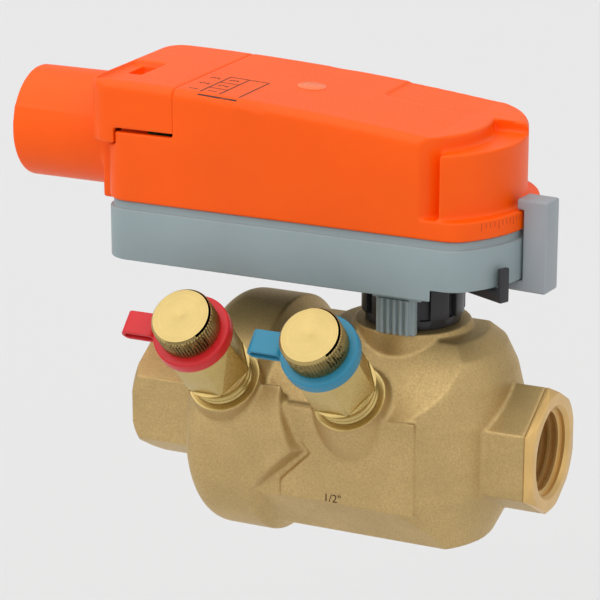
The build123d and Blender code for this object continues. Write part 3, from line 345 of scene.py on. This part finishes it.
def turned_brass(name, colour, origin, turn, roughness=0.34, ring_pitch=0.22, metallic=1.0):
    """Machined brass with the fine rings of a lathe tool about an axis."""
    finish = Finish(name, colour, roughness, metallic)
    spot = finish.place(origin, turn)
    across = finish.add("SeparateXYZ", {}, {"Vector": spot}, out=0)
    parts = across.socket.node.outputs
    along = Wire(finish, parts[2])
    radius = (across ** 2 + Wire(finish, parts[1]) ** 2) ** 0.5
    rings = finish.add("TexNoise", {"noise_dimensions": "2D"},
                       {"Vector": finish.add("CombineXYZ", {}, {0: radius, 1: along}),
                        "Scale": 1 / (ring_pitch * MM), "Detail": 1.0})
    cloud = finish.noise(finish.place(), 140, 3)
    finish.set(Base_Color=finish.mix(finish.spread(cloud, 0.3, 0.75), colour, shade(colour, 0.86)),
               Roughness=finish.spread(rings, 0.3, 0.7, roughness - 0.06, roughness + 0.12))
    finish.bump(rings, 0.6, 0.035 * MM)
    return finish.material


def brushed_metal(name, colour, roughness, metallic=1.0, stretch=(30, 900, 900)):
    """Rolled or ground metal with fine scratches along one way."""
    finish = Finish(name, colour, roughness, metallic)
    scratches = finish.noise(finish.place(scale=stretch), 1.0, 4, 0.6)
    finish.set(Base_Color=finish.mix(finish.spread(scratches, 0.3, 0.7), shade(colour, 0.88),
                                     shade(colour, 1.06)),
               Roughness=finish.spread(scratches, 0.3, 0.7, roughness - 0.05, roughness + 0.1))
    finish.bump(scratches, 0.15, 0.02 * MM)
    return finish.material


ORANGE = linear(249, 90, 0)
GREY = linear(143, 157, 160)
CLIP_GREY = linear(150, 156, 161)
BLACK = linear(48, 48, 51)
CAST_BRASS = linear(202, 173, 118)
BRIGHT_BRASS = linear(206, 181, 118)
RED = linear(204, 30, 36)
BLUE = linear(44, 130, 160)

outlet_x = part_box("valve_body")[1].x
cast_brass = blasted_brass("cast_brass", CAST_BRASS)
pipe_brass = turned_brass("pipe_brass", linear(224, 184, 116), (0, 0, 0),
                          (0, math.radians(-90), 0), metallic=0.6)
orange_plastic = moulded_plastic("orange_plastic", ORANGE, 0.42, shine=0.22)
grey_plastic = moulded_plastic("grey_plastic", GREY, 0.46)
clip_plastic = moulded_plastic("clip_plastic", CLIP_GREY, 0.38)
black_plastic = moulded_plastic("black_plastic", BLACK, 0.34)
red_rubber = moulded_plastic("red_rubber", RED, 0.36, 0.12, 0.6)
blue_rubber = moulded_plastic("blue_rubber", BLUE, 0.36, 0.12, 0.6)
print_ink = moulded_plastic("print_ink", linear(70, 38, 28), 0.6)
# darker orange for the rim ticks: painted shade standing in for the shade of the small moulded
# ticks, not ink
scale_ink = moulded_plastic("scale_ink", linear(205, 66, 8), 0.5)
gate_plastic = moulded_plastic("gate_plastic", linear(250, 118, 60), 0.3, 0.1)
steel = brushed_metal("steel", linear(188, 190, 194), 0.3)
hidden_finishes = {
    "cast_brass": cast_brass,
    "machined_brass": pipe_brass,
    "orange_plastic": orange_plastic,
    "grey_plastic": grey_plastic,
    "clip_plastic": clip_plastic,
    "black_plastic": black_plastic,
    "red_rubber": red_rubber,
    "blue_rubber": blue_rubber,
    "steel": steel,
    "seal_rubber": moulded_plastic("seal_rubber", linear(34, 34, 36), 0.6, 0.4, 0.5),
    "chromed_ball": brushed_metal("chromed_ball", linear(226, 228, 232), 0.1, 1.0, (60, 60, 60)),
    "seat_plastic": moulded_plastic("seat_plastic", linear(232, 231, 226), 0.4),
    "gear_plastic": moulded_plastic("gear_plastic", linear(224, 217, 198), 0.45),
    "board_green": moulded_plastic("board_green", linear(28, 104, 60), 0.3, 0.2, 0.8),
    "terminal_plastic": moulded_plastic("terminal_plastic", linear(66, 132, 84), 0.4),
}
for name, node in nodes.items():
    node.data.materials.clear()
    node.data.materials.append(hidden_finishes[slots[name]])


# ---------------------------------------------------------------- threads
THREAD_ROOT = 10.35 * MM
THREAD_CREST = 9.2 * MM
THREAD_PITCH = 1.81 * MM


def open_bore(piece, x_low, x_high):
    """Widens the plain bore of a copy to the thread's root, to hold the cut thread."""
    editing(piece, "VERT")

    def on_bore(vertex):
        radius = math.hypot(vertex.co.y, vertex.co.z)
        return x_low < vertex.co.x < x_high and abs(radius - THREAD_CREST) < 0.1 * MM

    pick(piece, "vertices", on_bore)
    grow = THREAD_ROOT / THREAD_CREST
    bpy.ops.transform.resize(value=(1, grow, grow), center_override=(x_low, 0, 0))
    done()


def thread(name, x_start, x_end):
    """The cut thread of a pipe port, as a thin sleeve of ridges inside the widened bore."""
    length = x_end - x_start
    turns = int(length / THREAD_PITCH)
    bpy.ops.mesh.primitive_cylinder_add(
        vertices=96, radius=THREAD_ROOT, depth=length, end_fill_type="NOTHING",
        location=((x_start + x_end) / 2, 0, 0), rotation=(0, math.radians(90), 0))
    piece = settle(added(name))
    editing(piece, "EDGE")
    bpy.ops.mesh.select_all(action="SELECT")
    pick(piece, "edges", lambda edge: abs(
        piece.data.vertices[edge.vertices[0]].co.x
        - piece.data.vertices[edge.vertices[1]].co.x) > 0.5 * length)
    bpy.ops.mesh.subdivide(number_cuts=4 * turns - 1)
    done()
    editing(piece, "VERT")
    step = length / (4 * turns)
    pick(piece, "vertices",
         lambda vertex: round((vertex.co.x - x_start) / step) % 4 in (2, 3))
    narrow = THREAD_CREST / THREAD_ROOT
    bpy.ops.transform.resize(value=(1, narrow, narrow), center_override=(x_start, 0, 0))
    bpy.ops.mesh.select_all(action="SELECT")
    bpy.ops.mesh.normals_make_consistent(inside=True)
    done()
    modify(piece, "SOLIDIFY", thickness=0.04 * MM, offset=-1)
    smooth(piece, 25)
    return piece


# ---------------------------------------------------------------- valve body
HUB_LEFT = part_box("seat_downstream")[1].x
FACE_DEPTH = 2.0 * MM
port_axes = {port: Vector(joints[port + "_cap_turn"]["axis"]).normalized()
             for port in ("supply", "return")}
port_mouths = {port: Vector(joints[port + "_cap_turn"]["pos_m"]) for port in port_axes}

whole_body = cad_copy("valve_body", "valve_body_forging")
open_bore(whole_body, outlet_x - 15 * MM, outlet_x - 0.5 * MM)
outlet_face = whole_body.copy()
outlet_face.data = whole_body.data.copy()
outlet_face.name = outlet_face.data.name = "outlet_face"
bpy.context.scene.collection.objects.link(outlet_face)

CUT_X = outlet_x - FACE_DEPTH
for piece, keep_outer in ((outlet_face, True), (whole_body, False)):
    editing(piece, "FACE")
    bpy.ops.mesh.select_all(action="SELECT")
    bpy.ops.mesh.bisect(plane_co=(CUT_X, 0, 0), plane_no=(1, 0, 0), use_fill=True,
                        clear_inner=keep_outer, clear_outer=not keep_outer)
    done()
clean_flats(outlet_face)
bevel(outlet_face, 0.18 * MM, 2, 25)
smooth(outlet_face)
place(outlet_face, pipe_brass, HOUSING, "machined_brass")



STEM_X = joints["stem_turn"]["pos_m"][0]
PANEL_LEFT, PANEL_RIGHT = STEM_X - 21.8 * MM, STEM_X + 10.9 * MM
PANEL_LOW, PANEL_TOP = -11 * MM, 11 * MM
PANEL_BACK, PANEL_FRONT = -22 * MM, -24.9 * MM
ARROW_TIP = Vector((STEM_X - 14.3 * MM, 0, 0.4 * MM))
ABOVE_TIP, BELOW_TIP = Vector((-6.6, 0, 10.6)), Vector((-7.3, 0, -9))


def left_of_arrow(spot):
    """Whether a place of the front lies on the arrow's side of its head."""
    from_tip = spot - ARROW_TIP
    side = ABOVE_TIP if from_tip.z > 0 else BELOW_TIP
    return from_tip.x < side.x * from_tip.z / side.z


def label_panel():
    """The raised panel beside the arrow: a plate cut along the arrow's head, then extruded."""
    bpy.ops.mesh.primitive_plane_add(
        size=1, rotation=(math.radians(90), 0, 0),
        location=((PANEL_LEFT + PANEL_RIGHT) / 2, PANEL_BACK, (PANEL_LOW + PANEL_TOP) / 2))
    plate = added("label_panel")
    plate.scale = (PANEL_RIGHT - PANEL_LEFT, PANEL_TOP - PANEL_LOW, 1)
    settle(plate)
    editing(plate, "FACE")
    for along in (Vector((1, 0, 0)), ABOVE_TIP, BELOW_TIP):
        bpy.ops.mesh.select_all(action="SELECT")
        bpy.ops.mesh.bisect(plane_co=ARROW_TIP, plane_no=(along.z, 0, -along.x))
    done()
    pick(plate, "polygons", lambda face: left_of_arrow(face.center))
    bpy.ops.mesh.delete(type="FACE")
    bpy.ops.mesh.select_all(action="SELECT")
    bpy.ops.mesh.extrude_region_move(
        TRANSFORM_OT_translate={"value": (0, PANEL_FRONT - PANEL_BACK, 0)})
    bpy.ops.mesh.select_all(action="SELECT")
    bpy.ops.mesh.normals_make_consistent(inside=False)
    done()
    return plate


whole_body = join("valve_body_forging", [whole_body, label_panel()])
VOXEL = 0.42 * MM
modify(whole_body, "REMESH", mode="VOXEL", voxel_size=VOXEL)


def forging_softness(spot):
    """How far a place of the forging is rounded: little near machined rims and the pipe hub."""
    for port, mouth in port_mouths.items():
        if (spot - mouth).dot(port_axes[port]) > -1.6 * MM and abs(spot.x - mouth.x) < 9 * MM:
            return 0.12
    if spot.x > HUB_LEFT + 8 * MM:
        return 0.3
    if math.hypot(spot.y, spot.z) < 10.8 * MM and spot.x > HUB_LEFT:
        return 0.1
    return 1.0


soft = whole_body.vertex_groups.new(name="soft")
levels = {}
for vertex in whole_body.data.vertices:
    levels.setdefault(forging_softness(vertex.co), []).append(vertex.index)
for level, members in levels.items():
    soft.add(members, level, "REPLACE")
modify(whole_body, "SMOOTH", factor=0.5, iterations=6, vertex_group="soft")
modify(whole_body, "DECIMATE", ratio=0.52)
smooth(whole_body, 60)
place(whole_body, cast_brass, HOUSING, "cast_brass", "valve_body")

outlet_thread = thread("outlet_thread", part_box("valve_body")[1].x - 14 * MM, outlet_x - 1.7 * MM)
place(outlet_thread, pipe_brass, HOUSING, "machined_brass")

inlet = cad_copy("inlet_connector", "inlet_connector_finished")
open_bore(inlet, -1 * MM, 14.5 * MM)
clean_flats(inlet)
bevel(inlet, 0.5 * MM, 3, 25)
smooth(inlet)
place(inlet, cast_brass, HOUSING, "cast_brass", "inlet_connector")
inlet_thread = thread("inlet_thread", 0.6 * MM, 13.9 * MM)
place(inlet_thread, pipe_brass, HOUSING, "machined_brass")


# ---------------------------------------------------------------- test ports
def span(node, origin, axis):
    """How far a CAD node reaches along an axis, lowest and highest."""
    reach = [(vertex.co - origin).dot(axis) for vertex in nodes[node].data.vertices]
    return min(reach), max(reach)


def stand(piece, mouth, height=0.0):
    """Stands a piece, modelled upright at the origin, on a port's axis at a height."""
    piece.matrix_world = Matrix.Translation(mouth) @ Matrix.Rotation(math.radians(45), 4, "X") \
        @ Matrix.Translation((0, 0, height)) @ piece.matrix_world
    return settle(piece)


def knurled_cap(port, mouth, axis):
    """A brass cap: a knurled side under a smooth turned head."""
    low, high = span(port + "_cap", mouth, axis)
    height = high - low
    outer = 6.85 * MM
    valley = 6.7 * MM
    knurl_top = height - 1.25 * MM
    bpy.ops.mesh.primitive_cylinder_add(vertices=60, radius=valley, depth=knurl_top,
                                        location=(0, 0, knurl_top / 2))
    piece = settle(added(port + "_cap_finished"))
    editing(piece, "EDGE")
    pick(piece, "edges", lambda edge: abs(
        piece.data.vertices[edge.vertices[0]].co.z
        - piece.data.vertices[edge.vertices[1]].co.z) > 0.5 * knurl_top)
    bpy.ops.mesh.subdivide(number_cuts=6)
    pick(piece, "polygons", lambda face: abs(face.normal.z) < 0.5)
    bpy.context.tool_settings.mesh_select_mode = (False, False, True)
    bpy.ops.mesh.poke(offset=0.27 * MM)
    pick(piece, "polygons", lambda face: face.normal.z > 0.9 and face.center.z > knurl_top * 0.99)
    for rise, spread_to in ((0.12, outer / valley), (0.7, 1.0), (0.43, 0.945)):
        bpy.ops.mesh.extrude_region_move(TRANSFORM_OT_translate={"value": (0, 0, rise * MM)})
        bpy.ops.transform.resize(value=(spread_to, spread_to, 1), center_override=(0, 0, 0))
    bpy.ops.mesh.inset(thickness=4.6 * MM)
    bpy.ops.mesh.inset(thickness=0.35 * MM, depth=-0.1 * MM)
    bpy.ops.mesh.inset(thickness=0.75 * MM)
    bpy.ops.mesh.inset(thickness=0.3 * MM, depth=-0.15 * MM)
    pick(piece, "polygons", lambda face: face.normal.z < -0.9 and len(face.vertices) > 10)
    bpy.ops.mesh.inset(thickness=valley - 4.58 * MM)
    bpy.ops.mesh.extrude_region_move(
        TRANSFORM_OT_translate={"value": (0, 0, height - 1.7 * MM)})
    done()
    smooth(piece, 32)
    stand(piece, mouth, low)
    brass = turned_brass(port + "_cap_brass", shade(BRIGHT_BRASS, 0.88), tuple(mouth),
                         (math.radians(-45), 0, 0), 0.36, 0.3)
    return place(piece, brass, port + "_cap_body", "machined_brass", port + "_cap")


def tether(port, mouth, axis, finish, slot):
    """The soft ring that holds a cap, with its strap looped out to one side."""
    low, high = span(port + "_tether", mouth, axis)
    ring_radius = 8.9 * MM
    ring_height = high - low
    middle = ring_height / 2
    bpy.ops.mesh.primitive_cylinder_add(vertices=96, radius=ring_radius, depth=ring_height,
                                        location=(0, 0, middle))
    ring = settle(added(port + "_tether_finished"))
    editing(ring, "FACE")
    for side in (1, -1):
        pick(ring, "polygons", lambda face: face.normal.z * side > 0.9)
        bpy.ops.mesh.inset(thickness=ring_radius - 4.85 * MM)
        if side == 1:
            bpy.ops.mesh.delete(type="FACE")
    pick(ring, "polygons", lambda face: face.normal.z < -0.9 and len(face.vertices) > 10)
    bpy.ops.mesh.delete(type="FACE")
    bpy.ops.mesh.select_mode(type="EDGE")
    bpy.ops.mesh.select_non_manifold()
    bpy.ops.mesh.bridge_edge_loops()
    done()
    bevel(ring, 0.5 * MM, 3)
    half = 1.7 * MM
    wall = 0.8 * MM
    reach = 5.2 * MM
    bpy.ops.mesh.primitive_cylinder_add(vertices=32, radius=half, depth=5.6 * MM,
                                        end_fill_type="NOTHING",
                                        rotation=(math.radians(90), 0, 0))
    strap = settle(added(port + "_strap"))
    editing(strap, "VERT")
    pick(strap, "vertices", lambda vertex: vertex.co.x < -0.01 * MM)
    bpy.ops.transform.translate(value=(-reach, 0, 0))
    bpy.ops.mesh.select_all(action="SELECT")
    bpy.ops.transform.translate(value=(-8.2 * MM - half, 0, middle))
    bpy.ops.mesh.normals_make_consistent(inside=False)
    done()
    modify(strap, "SOLIDIFY", thickness=wall, offset=-1)
    bevel(strap, 0.22 * MM, 2)
    piece = join(port + "_tether_finished", [ring, strap])
    smooth(piece)
    stand(piece, mouth, low)
    return place(piece, finish, HOUSING, slot, port + "_tether")


def port_rim(port, mouth):
    """The bright spot-faced rim round a test port's mouth."""
    bpy.ops.mesh.primitive_cylinder_add(vertices=96, radius=8.45 * MM, depth=0.5 * MM,
                                        location=(0, 0, -0.2 * MM))
    rim = settle(added(port + "_port_rim"))
    editing(rim, "FACE")
    pick(rim, "polygons", lambda face: face.normal.z > 0.9)
    bpy.ops.mesh.inset(thickness=0.35 * MM)
    bpy.ops.mesh.inset(thickness=0.95 * MM)
    bpy.ops.mesh.inset(thickness=0.2 * MM, depth=-0.25 * MM)
    done()
    bevel(rim, 0.08 * MM, 2)
    smooth(rim)
    stand(rim, mouth)
    brass = turned_brass(port + "_rim_brass", BRIGHT_BRASS, tuple(mouth),
                         (math.radians(-45), 0, 0), 0.36, 0.3)
    return place(rim, brass, HOUSING, "machined_brass")


for port, mouth in port_mouths.items():
    axis = port_axes[port]
    colour = {"supply": (red_rubber, "red_rubber"), "return": (blue_rubber, "blue_rubber")}[port]
    knurled_cap(port, mouth, axis)
    tether(port, mouth, axis, *colour)
    port_rim(port, mouth)
    plug_brass = turned_brass(port + "_plug_brass", BRIGHT_BRASS, tuple(mouth),
                              (math.radians(-45), 0, 0), 0.3, 0.25)
    softened(port + "_test_plug", plug_brass, 0.2 * MM, 2, 20)

# ---------------------------------------------------------------- actuator


def moulded(piece, node, finish, voxel=0.4 * MM, passes=4, ratio=0.45):
    """Rounds every edge of a moulded cover's copy a little, as the mould leaves them."""
    modify(piece, "REMESH", mode="VOXEL", voxel_size=voxel)
    modify(piece, "SMOOTH", factor=0.5, iterations=passes)
    modify(piece, "DECIMATE", ratio=ratio)
    smooth(piece, 50)
    return place(piece, finish, nodes[node]["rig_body"], slots[node], node)


cover = cad_copy("top_cover", "top_cover_finished")
moulded(cover, "top_cover", orange_plastic)

# the terminal cover's long lower edge is lifted a little to show the joint's shadow
lid = cad_copy("terminal_cover", "terminal_cover_finished")
LID_ARM_RIGHT = 2.0 * MM
lid_edge = min(vertex.co.z for vertex in lid.data.vertices if vertex.co.x > LID_ARM_RIGHT)
editing(lid, "VERT")
pick(lid, "vertices", lambda vertex: abs(vertex.co.z - lid_edge) < 0.05 * MM)
bpy.ops.transform.translate(value=(0, 0, 0.6 * MM))
done()
moulded(lid, "terminal_cover", orange_plastic)
softened("base_housing", grey_plastic, 0.35 * MM, 2, 25)
softened("end_stop_clip", clip_plastic, 0.5 * MM, 3)
softened("pointer", black_plastic, 0.35 * MM, 3)
softened("coupling_crown", black_plastic, 0.2 * MM, 2)


cover_mesh = nodes["top_cover"].data
roof = BVHTree.FromPolygons([vertex.co for vertex in cover_mesh.vertices],
                            [face.vertices for face in cover_mesh.polygons])


def on_roof(x, y):
    """The point of the roof over a place, and its normal."""
    spot, normal, _, _ = roof.ray_cast(Vector((x, y, cad_high.z + 0.01)), Vector((0, 0, -1)))
    return spot, normal


OVER_ROOF = cad_high.z + 5 * MM


def laid_on_roof(piece):
    """Drops a flat mark, drawn over the roof, onto the roof's curve."""
    settle(piece)
    modify(piece, "SHRINKWRAP", target=cover, wrap_method="PROJECT", use_project_z=True,
           use_positive_direction=False, use_negative_direction=True, offset=0.03 * MM)
    return piece


# gate mark, a small round left in the roof by the mould
gate_spot, gate_normal = on_roof(STEM_X - 25.4 * MM, -0.2 * MM)
bpy.ops.mesh.primitive_cylinder_add(vertices=64, radius=3.3 * MM, depth=0.3 * MM,
                                    location=gate_spot)
gate = added("gate_mark")
gate.rotation_euler = gate_normal.to_track_quat("Z", "Y").to_euler()
settle(gate)
bevel(gate, 0.1 * MM, 2)
smooth(gate)
place(gate, gate_plastic, HOUSING, "orange_plastic")

# wiring table: a frame of thin lines with terminal numbers beside it
marks = []


def line(start, end, width=0.34 * MM):
    """A printed line between two places of the roof, in small flat steps."""
    start, end = Vector((*start, OVER_ROOF)), Vector((*end, OVER_ROOF))
    bpy.ops.mesh.primitive_grid_add(x_subdivisions=12, y_subdivisions=1, size=1,
                                    location=(start + end) / 2)
    stroke = bpy.context.object
    stroke.scale = ((end - start).length, width, 1)
    stroke.rotation_euler = (0, 0, math.atan2(end.y - start.y, end.x - start.x))
    marks.append(laid_on_roof(stroke))


TABLE_LEFT, TABLE_RIGHT = STEM_X - 43.9 * MM, STEM_X - 34.3 * MM
TABLE_FRONT, TABLE_BACK = -20.4 * MM, -3.9 * MM
TABLE_SPLIT = STEM_X - 39.2 * MM
for x in (TABLE_LEFT, TABLE_SPLIT, TABLE_RIGHT):
    line((x, TABLE_FRONT), (x, TABLE_BACK))
for y in (TABLE_FRONT, TABLE_BACK):
    line((TABLE_LEFT, y), (TABLE_RIGHT, y))
cell = (TABLE_BACK - TABLE_FRONT) / 3
for row in (1, 2):
    line((TABLE_LEFT, TABLE_FRONT + row * cell), (TABLE_SPLIT, TABLE_FRONT + row * cell))


def printed(text, x, y, size, turn=90):
    """A printed number over the roof."""
    bpy.ops.object.text_add(location=(x, y, OVER_ROOF), rotation=(0, 0, math.radians(turn)))
    letters = bpy.context.object
    letters.data.body = text
    letters.data.size = size
    letters.data.align_x = "CENTER"
    letters.data.align_y = "CENTER"
    bpy.ops.object.convert(target="MESH")
    return bpy.context.object


for row, number in enumerate("123"):
    y = TABLE_FRONT + (row + 0.5) * cell
    for x in (TABLE_LEFT - 2.4 * MM, (TABLE_LEFT + TABLE_SPLIT) / 2):
        marks.append(laid_on_roof(printed(number, x, y, 3.2 * MM)))
table = join("number_table", marks)
place(table, print_ink, HOUSING, "black_plastic")

# size mark on the valve's front panel
size_mark = printed('1/2"', 0, 0, 2.7 * MM, 0)
size_mark.name = size_mark.data.name = "size_mark"
size_mark.rotation_euler = (math.radians(90), 0, 0)
size_mark.location = (STEM_X - 8.7 * MM, PANEL_FRONT - 0.05 * MM, -9.6 * MM)
settle(size_mark)
place(size_mark, print_ink, HOUSING, "black_plastic")

# scale ticks round the rim, where the end stop is set: real small ticks, coloured a darker orange
# that is painted shade
ticks = []
RIM_RADIUS = 28.0 * MM
for number in range(17):
    angle = math.radians(-36 + 2.4 * number)
    tall = 1.7 * MM if number % 4 == 0 else 1.2 * MM
    bpy.ops.mesh.primitive_cube_add(size=1, location=(RIM_RADIUS, 0, 56.4 * MM - tall / 2))
    tick = bpy.context.object
    tick.scale = (0.08 * MM, 0.2 * MM, tall)
    settle(tick)
    tick.rotation_euler = (0, 0, angle)
    tick.location = (STEM_X, 0, 0)
    ticks.append(settle(tick))
scale_marks = join("scale_ticks", ticks)
place(scale_marks, scale_ink, HOUSING, "orange_plastic")

# ---------------------------------------------------------------- room, light and camera
PALE = linear(230, 230, 230)
FLOOR_PAINT = linear(216, 216, 216)
SKY_STRENGTH = 0.8
world = bpy.data.worlds.new("pale_room")
bpy.context.scene.world = world
world.use_nodes = True
tree = world.node_tree
tree.nodes.clear()
output = tree.nodes.new("ShaderNodeOutputWorld")
seen = tree.nodes.new("ShaderNodeBackground")
seen.inputs["Color"].default_value = (*PALE, 1)
seen.inputs["Strength"].default_value = 1.0
light = tree.nodes.new("ShaderNodeBackground")
sky = tree.nodes.new("ShaderNodeTexCoord")
split = tree.nodes.new("ShaderNodeSeparateXYZ")
ramp = tree.nodes.new("ShaderNodeValToRGB")
ramp.color_ramp.elements[0].position = 0.0
ramp.color_ramp.elements[0].color = (0.38, 0.38, 0.38, 1)
ramp.color_ramp.elements[1].position = 1.0
ramp.color_ramp.elements[1].color = (0.95, 0.95, 0.95, 1)
light.inputs["Strength"].default_value = SKY_STRENGTH
tree.links.new(sky.outputs["Generated"], split.inputs[0])
height = tree.nodes.new("ShaderNodeMapRange")
height.inputs["From Min"].default_value = -0.6
height.inputs["From Max"].default_value = 0.9
tree.links.new(split.outputs["Z"], height.inputs["Value"])
tree.links.new(height.outputs[0], ramp.inputs["Fac"])
tree.links.new(ramp.outputs[0], light.inputs["Color"])
paths = tree.nodes.new("ShaderNodeLightPath")
chosen = tree.nodes.new("ShaderNodeMixShader")
tree.links.new(paths.outputs["Is Camera Ray"], chosen.inputs[0])
tree.links.new(light.outputs[0], chosen.inputs[1])
tree.links.new(seen.outputs[0], chosen.inputs[2])
tree.links.new(chosen.outputs[0], output.inputs["Surface"])

bpy.ops.mesh.primitive_plane_add(size=12, location=(cad_high.x / 2, 0, cad_low.z - 110 * MM))
floor = added("studio_floor")
floor_finish = Finish("studio_floor", FLOOR_PAINT, 0.9)
floor.data.materials.append(floor_finish.material)
paper = floor_finish.noise(floor_finish.place(), 300, 2)
floor_finish.bump(paper, 0.05, 0.05 * MM)


def soft_sun(name, toward, strength, spread):
    """A sun as wide as a studio lamp, shining from a direction onto the object."""
    bpy.ops.object.light_add(type="SUN", location=(0, 0, 1))
    lamp = bpy.context.object
    lamp.name = name
    lamp.data.energy = strength
    lamp.data.angle = math.radians(spread)
    lamp.rotation_euler = Vector(toward).to_track_quat("Z", "Y").to_euler()
    return lamp


soft_sun("top_lamp", (-0.3, -0.3, 1.0), 1.25, 80)
soft_sun("front_lamp", (-0.5, -1.0, 0.45), 0.6, 80)
soft_sun("right_lamp", (1.0, -0.35, 0.45), 0.4, 70)

EYE = Vector((0.296777, -0.549454, 0.219773))
right = Vector((0.9044, 0.4267, 0.0)).normalized()
back = Vector((0.4068, -0.8623, 0.3017)).normalized()
up = back.cross(right).normalized()
bpy.ops.object.camera_add(location=EYE)
camera = bpy.context.object
camera.rotation_euler = Matrix((right, up, back)).transposed().to_euler()
camera.data.lens = 165.06
camera.data.sensor_width = 36.0
camera.data.clip_start = 0.01
camera.data.clip_end = 20.0
bpy.context.scene.camera = camera
bpy.context.scene.view_settings.view_transform = "Standard"
